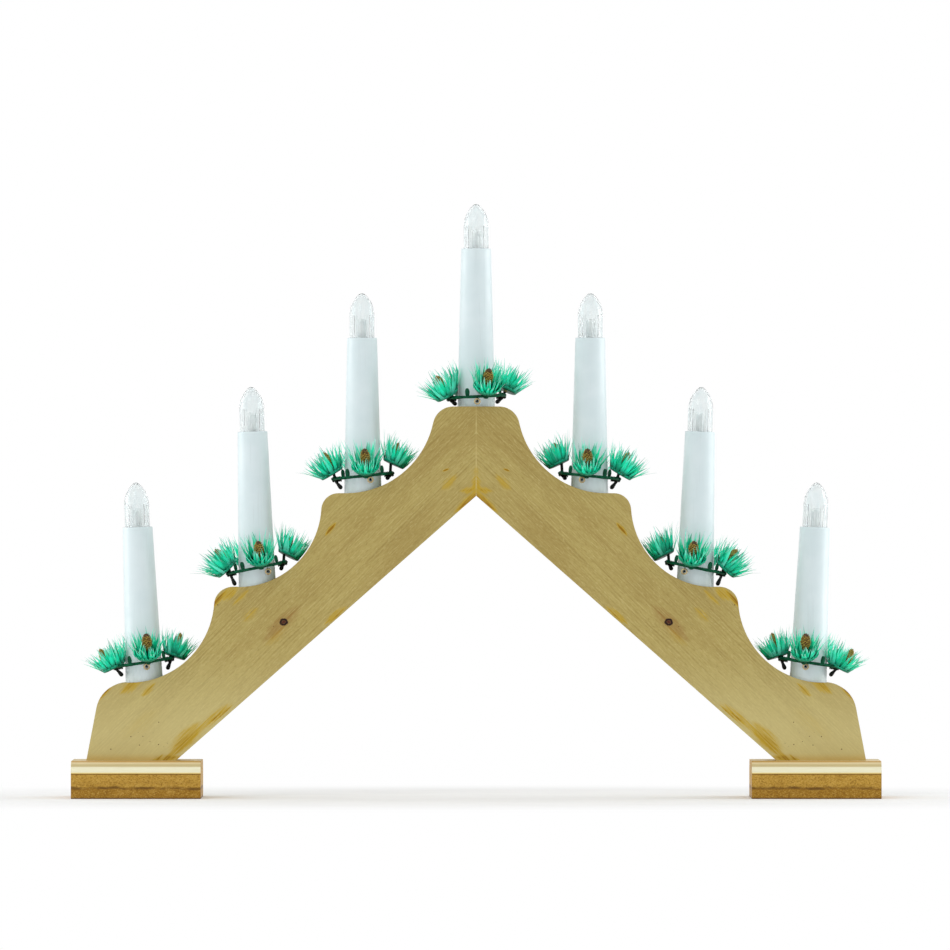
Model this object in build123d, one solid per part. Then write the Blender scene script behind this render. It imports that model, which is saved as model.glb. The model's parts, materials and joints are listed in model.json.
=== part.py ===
from build123d import *
import math
import os

# A seven-light candle arch. Lengths are in millimetres and angles in degrees.
# +Z is up, the front faces -Y, and the origin lies on the table under the mitre.
# A reach is a distance out from the mitre plane, the same on the left and the right.

# The two boards that make the arch.
BOARD_THICK = 22.0
LEG_PITCH = 41.4
MITRE_LENGTH = 44.2
STEP_DROPS = (42.9, 46.4, 47.3)
FIRST_STEP_RISE = 38.5
TOP_LANDING = 11.4
LANDINGS = (3.9, 3.2, 1.3)
SCALLOP_RADII = (44.0, 41.0, 42.0)
SHOULDER_RADII = (10.1, 8.4, 8.9)
END_RADIUS = 15.3
END_LEAN = 10.8

# The two feet and their moulded long edges.
FOOT_LENGTH = 64.0
FOOT_DEPTH = 56.0
FOOT_HEIGHT = 18.5
FOOT_OVERHANG = 7.1
MOULD_DROP = 5.9
MOULD_RUN = 5.2
MOULD_BULGE = 1.1

# The candle tubes, counted out from the centre one.
CANDLE_INSETS = (8.2, 9.1, 7.1)
CANDLE_LEANS = (0.0, 0.3, 1.8, 2.5)
SEAT_DEPTH = 8.0
TOP_SEAT_DEPTH = 6.7
TUBE_LENGTH = 85.0
TUBE_RIM_R = 7.4
TUBE_FOOT_R = 9.45
TUBE_RIM_BORE = 6.5
TUBE_FOOT_BORE = 8.2
RIM_ROUND = 0.5
SEAT_FIT = 0.1

# The lamps: a clear dome on a small screw cap with a light on a stem inside.
DOME_R = 6.2
DOME_WALL = 0.8
DOME_SINK = 3.0
DOME_SHOULDER = 14.2
OGIVE_R = 13.5
DOME_TIP_R = 2.2
DOME_FLOOR = 1.2
RIB_COUNT = 24
RIB_DEPTH = 0.35
NECK_R = 4.1
NECK_DROP = 2.0
STEM_R = 2.3
STEM_RISE = 9.5
CAP_R = 4.76
CAP_WALL = 0.3
CAP_LENGTH = 8.5
CAP_TAPER = 1.4
CONTACT_R = 1.9
CONTACT_DROP = 1.2
THREAD_PITCH = 1.8
THREAD_DEPTH = 0.22
THREAD_TURNS = 3
CLIP_R = 3.3
CLIP_THICK = 0.8
REST_GAP = 0.3
SLIDE_GAP = 0.3
GLUE_GAP = 0.05

# The lamp sockets inside the tops of the tubes.
CORE_LENGTH = 16.0
CORE_FLOOR = 5.0
SHELL_WALL = 0.35
SHELL_HEIGHT = 9.8
FLANGE_HOLE_R = 2.8
PIN_R = 0.6
PIN_DROP = 3.0

# The wiring in the groove behind the boards.
WIRE_R = 0.8
WIRE_BACK = 4.0
WIRE_SIDE = 1.6
WIRE_LANE = 1.5
WIRE_BEND = 2.0
WIRE_SWEEP = 10.0
WIRE_EASE = (9.0, 22.0)
WIRE_ROOM = 0.2
WIRE_END_GAP = 0.6
WIRE_HOLE_R = 3.6
WIRE_HOLE_BELOW = 5.0
GROOVE_RISE = 24.0
GROOVE_WIDTH = 7.0
APEX_BEND = 3.0

# The cable outlet and the staples over the groove.
GLAND_BAY_SHARE = 0.5
GLAND_R = 4.6
GLAND_BORE_R = 2.8
GLAND_FLANGE_R = 6.6
GLAND_FLANGE = 1.5
GLAND_ROOM = 0.8
STAPLE_BAY_SHARES = (0.3, 0.7)
STAPLE_CROWN = 11.6
STAPLE_LEG = 6.0
STAPLE_WIDE = 1.2
STAPLE_THICK = 0.7
PEG_FIT = 0.05

# The glued dowels across the mitre and the screws up through the feet.
DOWEL_R = 3.0
DOWEL_LENGTH = 30.0
DOWEL_FORWARD = 5.0
DOWEL_RISES = (10.5, 25.5)
DOWEL_CHAMFER = 0.6
SCREW_INSETS = (8.0, 36.0)
SCREW_R = 2.0
SCREW_HEAD_R = 3.9
SCREW_HEAD = 2.4
SCREW_SUNK = 1.0
SCREW_LENGTH = 33.0
SCREW_TIP = 3.0
SLOT_WIDE = 0.9
SLOT_LONG = 4.4
SLOT_DEEP = 1.3

# The evergreen rings that lie round the candles.
RING_R = 14.3
RING_WIRE_R = 0.8
RING_LIFTS = (4.9, 8.5, 9.5, 9.9)
RING_TILTS = (3.0, 5.7, 11.5, 8.8)
RING_SPINS = (17.0, 2.0, 8.0, 2.0)
BOSS_R = 1.5
BOSS_LENGTH = 2.0
TAB_WIDE = 2.4
TAB_TALL = 4.4
TAB_THICK = 0.9
TAB_SWING = 53.0
SPRIG_COUNT = 4
FREE_TILT = 28.0
FREE_FAN = 22.0
WALL_TILT = 22.0
WALL_FAN = 12.0
SPRIG_RISE = 3.0
DISC_R = 5.3
DISC_THICK = 1.0
DISC_HOLE_R = 0.9
STRAND_BASE = 0.9
STRAND_TIP = 0.28
STRAND_SINK = 0.5
OUTER_STRANDS = 10
OUTER_STRAND_R = 4.7
OUTER_STRAND_LENGTH = 10.5
INNER_STRANDS = 6
INNER_STRAND_R = 3.3
INNER_STRAND_LENGTH = 12.6
INNER_STRAND_LEAN = 8.0

# The small cones and the wires that hold them.
CONE_R = 2.4
CONE_LENGTH = 9.4
CONE_RISE = 2.2
CONE_SCALES = 6
SCALE_DEPTH = 0.3
CONE_TOP_SHARE = 0.18
CONE_FOOT_SHARE = 0.55
TWIST_R = 0.7
TWIST_BELOW = 1.5
TWIST_BEND = 0.8
TWIST_FOOT_R = 11.1
KNOB_R = 1.05

OVERRUN = 1.0

TWO = 2
HALF_TURN = 180.0
FULL_TURN = 360.0
QUARTER_TURN = 90.0
PLACES = range(1, 8)
CENTRE_PLACE = 4
FRONT = -1
LEFT = -1
RIGHT = 1

PITCH_TAN = math.tan(math.radians(LEG_PITCH))
PITCH_COS = math.cos(math.radians(LEG_PITCH))
HALF_BOARD = BOARD_THICK / TWO

# Heights of the four landings, from the top one out and down.
FIRST_STEP = FOOT_HEIGHT + FIRST_STEP_RISE
STEPS = [FIRST_STEP + sum(STEP_DROPS[k:]) for k in range(len(STEP_DROPS))] + [FIRST_STEP]
APEX_HEIGHT = STEPS[0] - MITRE_LENGTH


def scallop_places():
    """Reach of each shoulder's centre and of each scallop's lowest point."""
    shoulders = []
    scallops = []
    reach = TOP_LANDING
    for k, drop in enumerate(STEP_DROPS):
        shoulders.append(reach)
        span = SCALLOP_RADII[k] + SHOULDER_RADII[k]
        reach += math.sqrt(span ** TWO - (span - drop) ** TWO)
        scallops.append(reach)
        reach += LANDINGS[k]
    shoulders.append(reach)
    return shoulders, scallops


SHOULDERS, SCALLOPS = scallop_places()
END_TANGENT = END_RADIUS / math.tan(math.radians((QUARTER_TURN + END_LEAN) / TWO))
END_CORNER = SHOULDERS[-1] + END_TANGENT
LEG_OUTER = END_CORNER + FIRST_STEP_RISE * math.tan(math.radians(END_LEAN))
LEG_INNER = (APEX_HEIGHT - FOOT_HEIGHT) / PITCH_TAN
FOOT_OUTER = LEG_OUTER + FOOT_OVERHANG
FOOT_CENTRE = FOOT_OUTER - FOOT_LENGTH / TWO


def over_wood(reach, gap):
    """Height of the point that lies a gap clear of the boards' stepped top."""
    for k, step in enumerate(STEPS[:-1]):
        if reach <= SHOULDERS[k]:
            return step + gap
        shoulder_z = step - SHOULDER_RADII[k]
        scallop_z = STEPS[k + 1] + SCALLOP_RADII[k]
        joint = SHOULDER_RADII[k] / (SHOULDER_RADII[k] + SCALLOP_RADII[k])
        if reach <= SHOULDERS[k] + (SCALLOPS[k] - SHOULDERS[k]) * joint:
            return shoulder_z + math.sqrt((SHOULDER_RADII[k] + gap) ** TWO - (reach - SHOULDERS[k]) ** TWO)
        if reach <= SCALLOPS[k]:
            return scallop_z - math.sqrt((SCALLOP_RADII[k] - gap) ** TWO - (reach - SCALLOPS[k]) ** TWO)
    past = max(reach - SHOULDERS[-1], 0.0)
    return FIRST_STEP - END_RADIUS + math.sqrt((END_RADIUS + gap) ** TWO - past ** TWO)


def rank(place):
    """How far a candle stands out from the centre one, from 0 to 3."""
    return abs(place - CENTRE_PLACE)


def side_of(place):
    """The side of the mitre that a candle stands on."""
    return LEFT if place < CENTRE_PLACE else RIGHT


def candle_reach(place):
    """A candle's distance out from the mitre, measured on its landing."""
    out = rank(place)
    return SCALLOPS[out - 1] - CANDLE_INSETS[out - 1] if out else 0.0


def candle_frame(place):
    """The frame on the floor of a candle's seat, with +Z up along the candle."""
    out = rank(place)
    depth = SEAT_DEPTH if out else TOP_SEAT_DEPTH
    top = Location((side_of(place) * candle_reach(place), 0, STEPS[out]))
    return top * Rot(0, side_of(place) * CANDLE_LEANS[out], 0) * Pos(0, 0, -depth)


def arc_about(centre, radius, start, end):
    """The shorter arc between two directions, in degrees, about a centre."""
    points = []
    for angle in (start, (start + end) / TWO, end):
        turn = math.radians(angle)
        points.append((centre[0] + radius * math.cos(turn), centre[1] + radius * math.sin(turn)))
    return ThreePointArc(*points)


def leg_outline():
    """The closed outline of one board, drawn for the right-hand side."""
    edges = []
    last = (0, STEPS[0])
    for k, step in enumerate(STEPS[:-1]):
        crest = (SHOULDERS[k], step)
        edges.append(Line(last, crest))
        shoulder = (SHOULDERS[k], step - SHOULDER_RADII[k])
        scallop = (SCALLOPS[k], STEPS[k + 1] + SCALLOP_RADII[k])
        swing = math.degrees(math.atan2(scallop[1] - shoulder[1], scallop[0] - shoulder[0]))
        edges.append(arc_about(shoulder, SHOULDER_RADII[k], QUARTER_TURN, swing))
        edges.append(arc_about(scallop, SCALLOP_RADII[k], HALF_TURN + swing, HALF_TURN + QUARTER_TURN))
        last = (SCALLOPS[k], STEPS[k + 1])
    edges.append(Line(last, (SHOULDERS[-1], FIRST_STEP)))
    end_centre = (SHOULDERS[-1], FIRST_STEP - END_RADIUS)
    end_arc = arc_about(end_centre, END_RADIUS, QUARTER_TURN, END_LEAN)
    edges.append(end_arc)
    corners = [end_arc @ 1, (LEG_OUTER, FOOT_HEIGHT), (LEG_INNER, FOOT_HEIGHT), (0, APEX_HEIGHT)]
    corners.append((0, STEPS[0]))
    edges += [Line(start, end) for start, end in zip(corners, corners[1:])]
    return make_face(edges)


def lane_height(reach, lane):
    """Height of a line that runs along the groove, a lane above its middle."""
    return APEX_HEIGHT + GROOVE_RISE - reach * PITCH_TAN + lane / PITCH_COS


GROOVE_FLOOR = WIRE_BACK - WIRE_R - WIRE_ROOM
GROOVE_DEPTH = HALF_BOARD - GROOVE_FLOOR


def bay_reach(bay, share):
    """A reach at a share of the way between two candles, counted from the mitre."""
    inner = candle_reach(CENTRE_PLACE + bay)
    return inner + (candle_reach(CENTRE_PLACE + bay + 1) - inner) * share


GLAND_REACH = bay_reach(len(STEP_DROPS) - 1, GLAND_BAY_SHARE)


def staple_places():
    """Side and reach of each staple; the cable outlet shares one bay with two."""
    reaches = [bay_reach(bay, share) for bay in range(len(STEP_DROPS)) for share in STAPLE_BAY_SHARES]
    return [(side, reach) for side in (LEFT, RIGHT) for reach in reaches]


def rear_frame(side, reach, lane):
    """A frame on the boards' rear face, +Z to the rear and +Y across the groove."""
    spot = Location((side * reach, HALF_BOARD, lane_height(reach, lane)))
    return spot * Rot(0, side * LEG_PITCH, 0) * Rot(-QUARTER_TURN, 0, 0) * Rot(0, 0, HALF_TURN)


def groove_cut(side):
    """The slot that holds the wires, from the mitre to just past the last candle."""
    end = candle_reach(CENTRE_PLACE + len(STEP_DROPS)) + GROOVE_WIDTH / TWO
    half = GROOVE_WIDTH / TWO
    ends = ((-GROOVE_WIDTH, 1), (end, 1), (end, -1), (-GROOVE_WIDTH, -1))
    points = [(reach, lane_height(reach, sign * half)) for reach, sign in ends]
    face = make_face(Polyline(*points, close=True))
    slot = extrude(Plane.XZ.offset(-HALF_BOARD - OVERRUN) * face, GROOVE_DEPTH + OVERRUN)
    return slot if side == RIGHT else mirror(slot, Plane.YZ)


def hole_depth(place):
    """How far a candle's wire hole runs below the floor of its seat."""
    out = rank(place)
    floor = STEPS[out] - (SEAT_DEPTH if out else TOP_SEAT_DEPTH)
    return floor - lane_height(candle_reach(place), -WIRE_LANE) + WIRE_HOLE_BELOW


def candle_cuts(place):
    """The seat of a candle tube and the wire hole below it."""
    above = max(SCALLOP_RADII) / TWO
    seat = Cylinder(TUBE_FOOT_R + SEAT_FIT, above, align=(Align.CENTER, Align.CENTER, Align.MIN))
    depth = hole_depth(place) + OVERRUN
    hole = Cylinder(WIRE_HOLE_R, depth, align=(Align.CENTER, Align.CENTER, Align.MAX))
    return [candle_frame(place) * seat, candle_frame(place) * Pos(0, WIRE_BACK, OVERRUN) * hole]


def dowel_frames():
    """Where the two dowels cross the mitre, lying along X."""
    spots = [(0, FRONT * DOWEL_FORWARD, APEX_HEIGHT + rise) for rise in DOWEL_RISES]
    return [Location(spot) * Rot(0, QUARTER_TURN, 0) for spot in spots]


def screw_frames(side):
    """The two screw places of one foot, on the foot's underside."""
    return [Location((side * (LEG_INNER + inset), 0, 0)) for inset in SCREW_INSETS]


def staple_leg_places():
    """Offsets of a staple's two legs across the groove."""
    offset = (STAPLE_CROWN - STAPLE_WIDE) / TWO
    return (-offset, offset)


def staple_leg(reach_across, fit):
    """One leg of a staple, or with a fit the hole that takes it."""
    leg = Box(STAPLE_THICK + TWO * fit, STAPLE_WIDE + TWO * fit, STAPLE_LEG + fit)
    return Pos(0, reach_across, -(STAPLE_LEG + fit) / TWO) * leg


def leg(side):
    """One board with its seats, wire holes, groove and fixing holes."""
    board = extrude(Plane.XZ * leg_outline(), HALF_BOARD, both=True)
    board = board if side == RIGHT else mirror(board, Plane.YZ)
    cuts = [groove_cut(side)]
    for place in PLACES:
        if place == CENTRE_PLACE or side_of(place) == side:
            cuts += candle_cuts(place)
    dowel_hole = Cylinder(DOWEL_R + PEG_FIT, DOWEL_LENGTH + TWO * PEG_FIT)
    cuts += [frame * dowel_hole for frame in dowel_frames()]
    pilot_depth = SCREW_LENGTH + TWO * PEG_FIT
    pilot = Cylinder(SCREW_R + PEG_FIT, pilot_depth, align=(Align.CENTER, Align.CENTER, Align.MIN))
    cuts += [frame * pilot for frame in screw_frames(side)]
    for staple_side, reach in staple_places():
        if staple_side == side:
            frame = rear_frame(side, reach, 0)
            cuts += [frame * staple_leg(across, PEG_FIT) for across in staple_leg_places()]
    if side == LEFT:
        pocket = Cylinder(GLAND_R + PEG_FIT, GROOVE_DEPTH, align=(Align.CENTER, Align.CENTER, Align.MAX))
        cuts.append(rear_frame(side, GLAND_REACH, -WIRE_LANE) * pocket)
    return board.cut(*cuts)


def foot(side):
    """One foot: a block with a moulded edge along its front and its rear."""
    half = FOOT_DEPTH / TWO
    brow = half - MOULD_RUN
    lip = FOOT_HEIGHT - MOULD_DROP
    chord = math.hypot(MOULD_RUN, MOULD_DROP)
    bulge = (MOULD_DROP / chord * MOULD_BULGE, MOULD_RUN / chord * MOULD_BULGE)
    crown = (brow + MOULD_RUN / TWO + bulge[0], lip + MOULD_DROP / TWO + bulge[1])
    edges = [
        Line((-half, 0), (half, 0)),
        Line((half, 0), (half, lip)),
        ThreePointArc((half, lip), crown, (brow, FOOT_HEIGHT)),
        Line((brow, FOOT_HEIGHT), (-brow, FOOT_HEIGHT)),
        ThreePointArc((-brow, FOOT_HEIGHT), (-crown[0], crown[1]), (-half, lip)),
        Line((-half, lip), (-half, 0)),
    ]
    block = Pos(side * FOOT_CENTRE, 0, 0) * extrude(Plane.YZ * make_face(edges), FOOT_LENGTH / TWO, both=True)
    through_height = FOOT_HEIGHT + OVERRUN
    through = Cylinder(SCREW_R + PEG_FIT, through_height, align=(Align.CENTER, Align.CENTER, Align.MIN))
    well = Cylinder(SCREW_HEAD_R + PEG_FIT, SCREW_SUNK, align=(Align.CENTER, Align.CENTER, Align.MIN))
    taper = Cone(SCREW_HEAD_R + PEG_FIT, SCREW_R + PEG_FIT, SCREW_HEAD)
    sink = Pos(0, 0, SCREW_SUNK + SCREW_HEAD / TWO) * taper
    cuts = [frame * tool for frame in screw_frames(side) for tool in (through, well, sink)]
    return block.cut(*cuts)


def turned(points):
    """A solid of revolution about Z from a closed profile of radius and height."""
    return revolve(Plane.XZ * make_face(Polyline(*points, close=True)), Axis.Z)


def foot_screw():
    """A countersunk wood screw, head down, with its cross slot."""
    head = [(0, SCREW_SUNK), (SCREW_HEAD_R, SCREW_SUNK), (SCREW_R, SCREW_SUNK + SCREW_HEAD)]
    points = head + [(SCREW_R, SCREW_LENGTH - SCREW_TIP), (0, SCREW_LENGTH)]
    slot = Pos(0, 0, SCREW_SUNK + SLOT_DEEP / TWO) * Box(SLOT_LONG, SLOT_WIDE, SLOT_DEEP)
    return turned(points) - slot - Rot(0, 0, QUARTER_TURN) * slot


def dowel():
    """A beech dowel with chamfered ends."""
    peg = Cylinder(DOWEL_R, DOWEL_LENGTH)
    return chamfer(peg.edges().filter_by(GeomType.CIRCLE), DOWEL_CHAMFER)


def staple():
    """A flat wire staple, its crown lying on the rear face."""
    crown = Pos(0, 0, STAPLE_THICK / TWO) * Box(STAPLE_THICK, STAPLE_CROWN, STAPLE_THICK)
    return crown.fuse(*[staple_leg(across, 0) for across in staple_leg_places()])


def cable_gland():
    """The flanged bush where a lead leaves the left board's rear face."""
    inner_end = WIRE_BACK + WIRE_R + GLAND_ROOM - HALF_BOARD
    body = Pos(0, 0, inner_end / TWO) * Cylinder(GLAND_R, -inner_end)
    flange = Pos(0, 0, GLAND_FLANGE / TWO) * Cylinder(GLAND_FLANGE_R, GLAND_FLANGE)
    bore = Cylinder(GLAND_BORE_R, TWO * (GLAND_FLANGE - inner_end))
    return rear_frame(LEFT, GLAND_REACH, -WIRE_LANE) * (body + flange - bore)


def tube_bore_at(height):
    """The tapered bore's radius at a height above the seat's floor."""
    return TUBE_FOOT_BORE + (TUBE_RIM_BORE - TUBE_FOOT_BORE) * height / TUBE_LENGTH


def candle_tube():
    """One hollow tapered tube, standing on the floor of its seat."""
    points = [(TUBE_FOOT_BORE, 0), (TUBE_FOOT_R, 0), (TUBE_RIM_R, TUBE_LENGTH), (TUBE_RIM_BORE, TUBE_LENGTH)]
    tube = turned(points)
    rim = tube.edges().filter_by(GeomType.CIRCLE).group_by(Axis.Z)[-1].sort_by(SortBy.RADIUS)[-1]
    return fillet(rim, RIM_ROUND)


CORE_TOP = TUBE_LENGTH - DOME_SINK - REST_GAP
CORE_FOOT = CORE_TOP - CORE_LENGTH
CAVITY_FLOOR = CORE_FOOT + CORE_FLOOR
SHELL_IN_R = CAP_R + SLIDE_GAP
SHELL_OUT_R = SHELL_IN_R + THREAD_DEPTH + SHELL_WALL
LAMP_FLOOR = CORE_TOP + REST_GAP
CAP_FOOT = LAMP_FLOOR - CAP_LENGTH
SHELL_PIN_SPOT = (-WIRE_SIDE, WIRE_BACK)
PIN_FOOT = CORE_FOOT - PIN_DROP


def thread_wave(radius, start, rising):
    """Points of a rolled thread, as round ridges, starting at a height."""
    points = []
    for turn in range(THREAD_TURNS):
        base = start + turn * THREAD_PITCH
        points.append((radius, base))
        points.append((radius + THREAD_DEPTH, base + THREAD_PITCH / TWO))
    points.append((radius, start + THREAD_TURNS * THREAD_PITCH))
    return points if rising else points[::-1]


def socket_core():
    """The insulating core that wedges in the tube's taper and holds the contacts."""
    bore_r = SHELL_OUT_R + GLUE_GAP
    foot_r = tube_bore_at(CORE_FOOT) - GLUE_GAP
    top_r = tube_bore_at(CORE_TOP) - GLUE_GAP
    outside = [(0, CORE_FOOT), (foot_r, CORE_FOOT), (top_r, CORE_TOP)]
    inside = [(bore_r, CORE_TOP), (bore_r, CAVITY_FLOOR), (0, CAVITY_FLOOR)]
    pin_hole = Pos(0, 0, CORE_FOOT) * Cylinder(PIN_R + PEG_FIT, TWO * CORE_FLOOR + OVERRUN)
    shell_hole = Pos(*SHELL_PIN_SPOT, 0) * pin_hole
    return turned(outside + inside) - pin_hole - shell_hole


def socket_shell():
    """The threaded brass shell with the pin that a wire joins."""
    top = CAVITY_FLOOR + SHELL_HEIGHT
    inner_foot = CAVITY_FLOOR + SHELL_WALL
    start = top - (THREAD_TURNS + 1) * THREAD_PITCH
    inner = [(FLANGE_HOLE_R, inner_foot), (SHELL_IN_R, inner_foot)]
    inner += thread_wave(SHELL_IN_R, start, True) + [(SHELL_IN_R, top)]
    outer_r = SHELL_IN_R + SHELL_WALL
    outer = [(outer_r, top)] + thread_wave(outer_r, start, False) + [(outer_r, CAVITY_FLOOR)]
    shell = turned(inner + outer + [(FLANGE_HOLE_R, CAVITY_FLOOR)])
    pin = Cylinder(PIN_R, inner_foot - PIN_FOOT, align=(Align.CENTER, Align.CENTER, Align.MIN))
    return shell + Pos(*SHELL_PIN_SPOT, PIN_FOOT) * pin


def socket_centre():
    """The centre contact: a button on the cavity's floor and its pin."""
    button_top = CAP_FOOT - CONTACT_DROP - REST_GAP
    points = [(0, PIN_FOOT), (PIN_R, PIN_FOOT), (PIN_R, CAVITY_FLOOR), (CONTACT_R, CAVITY_FLOOR)]
    return turned(points + [(CONTACT_R, button_top), (0, button_top)])


def dome_outline(radius, ogive, tip):
    """Half the outline of a dome: its side, its ogive and its round tip."""
    centre = (radius - ogive, LAMP_FLOOR + DOME_SHOULDER)
    rise = math.sqrt((ogive - tip) ** TWO - (ogive - radius) ** TWO)
    tip_centre = (0, centre[1] + rise)
    swing = math.degrees(math.atan2(rise, ogive - radius))
    side = Line((radius, LAMP_FLOOR), (radius, centre[1]))
    crown = arc_about(centre, ogive, 0, swing)
    nose = arc_about(tip_centre, tip, swing, QUARTER_TURN)
    return [side, crown, nose], nose @ 1


def dome_body(inset):
    """The solid inside a dome's outline, drawn in by an inset."""
    edges, top = dome_outline(DOME_R - inset, OGIVE_R - inset, DOME_TIP_R - inset)
    edges += [Line(top, (0, LAMP_FLOOR)), Line((0, LAMP_FLOOR), (DOME_R - inset, LAMP_FLOOR))]
    return revolve(Plane.XZ * make_face(edges), Axis.Z)


def rib_core():
    """The fluted prism that leaves upright ribs on the dome's inner wall."""
    outer = DOME_R - DOME_WALL + RIB_DEPTH
    points = []
    for k in range(TWO * RIB_COUNT):
        turn = math.radians(FULL_TURN * k / (TWO * RIB_COUNT))
        radius = outer if k % TWO else outer - RIB_DEPTH
        points.append((radius * math.cos(turn), radius * math.sin(turn)))
    prism = extrude(make_face(Polyline(*points, close=True)), DOME_SHOULDER - DOME_FLOOR)
    return Pos(0, 0, LAMP_FLOOR + DOME_FLOOR) * prism


def lamp_dome():
    """The clear dome, ribbed inside, with a neck that the cap is crimped to."""
    above = Pos(0, 0, LAMP_FLOOR + DOME_SHOULDER - THREAD_DEPTH)
    keep = above * Cylinder(DOME_R, TWO * OGIVE_R, align=(Align.CENTER, Align.CENTER, Align.MIN))
    nose_hollow = dome_body(DOME_WALL) & keep
    neck = Pos(0, 0, LAMP_FLOOR) * Cylinder(NECK_R, NECK_DROP, align=(Align.CENTER, Align.CENTER, Align.MAX))
    hole = Pos(0, 0, LAMP_FLOOR) * Cylinder(STEM_R + GLUE_GAP, TWO * (NECK_DROP + DOME_FLOOR))
    return dome_body(0) - nose_hollow - rib_core() + neck - hole


def lamp_cap():
    """The screw cap, with its rolled thread and the contact under it."""
    start = CAP_FOOT + CAP_TAPER
    body_r = CAP_R - THREAD_DEPTH
    inner_r = body_r - CAP_WALL
    tip = CAP_FOOT - CONTACT_DROP
    outer = [(0, tip), (CONTACT_R, tip), (CONTACT_R + CAP_WALL, CAP_FOOT)]
    outer += thread_wave(body_r, start, True) + [(body_r, LAMP_FLOOR)]
    inner = [(inner_r, LAMP_FLOOR), (inner_r, start + CAP_WALL), (0, start + CAP_WALL)]
    return turned(outer + inner)


def lamp_led():
    """The light on its stem, with the clip that sits under the dome's neck."""
    clip_top = LAMP_FLOOR - NECK_DROP - GLUE_GAP
    top = LAMP_FLOOR + DOME_SINK + STEM_RISE
    edges = [
        Line((0, clip_top - CLIP_THICK), (CLIP_R, clip_top - CLIP_THICK)),
        Line((CLIP_R, clip_top - CLIP_THICK), (CLIP_R, clip_top)),
        Line((CLIP_R, clip_top), (STEM_R, clip_top)),
        Line((STEM_R, clip_top), (STEM_R, top - STEM_R)),
        arc_about((0, top - STEM_R), STEM_R, 0, QUARTER_TURN),
        Line((0, top), (0, clip_top - CLIP_THICK)),
    ]
    return revolve(Plane.XZ * make_face(edges), Axis.Z)


def wire_run(points, radii):
    """A round wire along straight runs joined by arcs."""
    path = FilletPolyline(*points, radius=radii)
    section = Plane(origin=path @ 0, z_dir=path % 0) * Circle(WIRE_R)
    return sweep(section, path=path)


def drop_to_lane(place, side, across, lane):
    """Where a wire down a candle's hole meets its lane in the groove."""
    frame = candle_frame(place)
    top = Vector(frame.position)
    lean = math.radians(side_of(place) * CANDLE_LEANS[rank(place)])
    slope = side * PITCH_TAN
    start = top + Vector(math.cos(lean), 0, -math.sin(lean)) * across
    fall = lane_height(side * start.X, lane) - start.Z
    down = fall / (math.cos(lean) + slope * math.sin(lean))
    return start + Vector(math.sin(lean), 0, math.cos(lean)) * down + Vector(0, WIRE_BACK, 0)


def from_centre_pin(place):
    """The first points of a wire that starts at a socket's centre pin."""
    frame = candle_frame(place)
    spots = [
        (0, 0, PIN_FOOT),
        (0, 0, PIN_FOOT - WIRE_EASE[0]),
        (WIRE_SIDE, WIRE_BACK, PIN_FOOT - WIRE_EASE[1]),
    ]
    return [(frame * Location(spot)).position for spot in spots]


def shell_pin_point(place):
    """The point where a wire meets a socket shell's pin."""
    return (candle_frame(place) * Location((*SHELL_PIN_SPOT, PIN_FOOT))).position


def link_wire(place):
    """The wire from one socket's centre pin to the next socket's shell."""
    side = side_of(place)
    low = drop_to_lane(place, side, WIRE_SIDE, WIRE_LANE)
    high = drop_to_lane(place + 1, side, -WIRE_SIDE, WIRE_LANE)
    points = from_centre_pin(place) + [low, high, shell_pin_point(place + 1)]
    return wire_run(points, [WIRE_SWEEP, WIRE_SWEEP, WIRE_BEND, WIRE_BEND])


def gland_end(along):
    """A point on the lower lane under the outlet, a little along the groove."""
    reach = GLAND_REACH + along * PITCH_COS
    return Vector(-reach, WIRE_BACK, lane_height(reach, -WIRE_LANE))


def feed_wire():
    """The wire from the outlet to the first socket's shell."""
    first = PLACES[0]
    low = drop_to_lane(first, LEFT, -WIRE_SIDE, -WIRE_LANE)
    return wire_run([gland_end(WIRE_END_GAP), low, shell_pin_point(first)], [WIRE_BEND])


def return_wire():
    """The wire from the last socket back over the mitre to the outlet."""
    last = PLACES[-1]
    low = drop_to_lane(last, RIGHT, WIRE_SIDE, -WIRE_LANE)
    apex = Vector(0, WIRE_BACK, lane_height(0, -WIRE_LANE))
    points = from_centre_pin(last) + [low, apex, gland_end(-WIRE_END_GAP)]
    return wire_run(points, [WIRE_SWEEP, WIRE_SWEEP, WIRE_BEND, APEX_BEND])


def ring_frame(place):
    """The frame of an evergreen ring, centred on its candle and tilted to the wood."""
    out = rank(place)
    depth = SEAT_DEPTH if out else TOP_SEAT_DEPTH
    centre = (candle_frame(place) * Location((0, 0, depth + RING_LIFTS[out]))).position
    return Location(centre) * Rot(0, side_of(place) * RING_TILTS[out] if out else -RING_TILTS[0], 0)


def sprig_turns(place):
    """Directions of the four sprigs round a ring: right, back, left and front."""
    spin = -side_of(place) * RING_SPINS[rank(place)] if rank(place) else RING_SPINS[0]
    return [QUARTER_TURN * k + spin for k in range(SPRIG_COUNT)]


def tab_turns(place):
    """Directions of the four leaf tabs, one on each side of the right and left sprigs."""
    right, _, left, _ = sprig_turns(place)
    return [turn + swing for turn in (right, left) for swing in (-TAB_SWING, TAB_SWING)]


def faces_wall(place, k):
    """Whether a sprig stands on the side of its candle where the wood rises."""
    wall_sprig = 0 if side_of(place) == LEFT else TWO
    return rank(place) > 0 and k == wall_sprig


def sprig_frame(place, k):
    """A sprig's frame within its ring's frame, with +Z out along the sprig."""
    tilt = WALL_TILT if faces_wall(place, k) else FREE_TILT
    return Rot(0, 0, sprig_turns(place)[k]) * Pos(RING_R, 0, 0) * Rot(0, tilt, 0)


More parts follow.
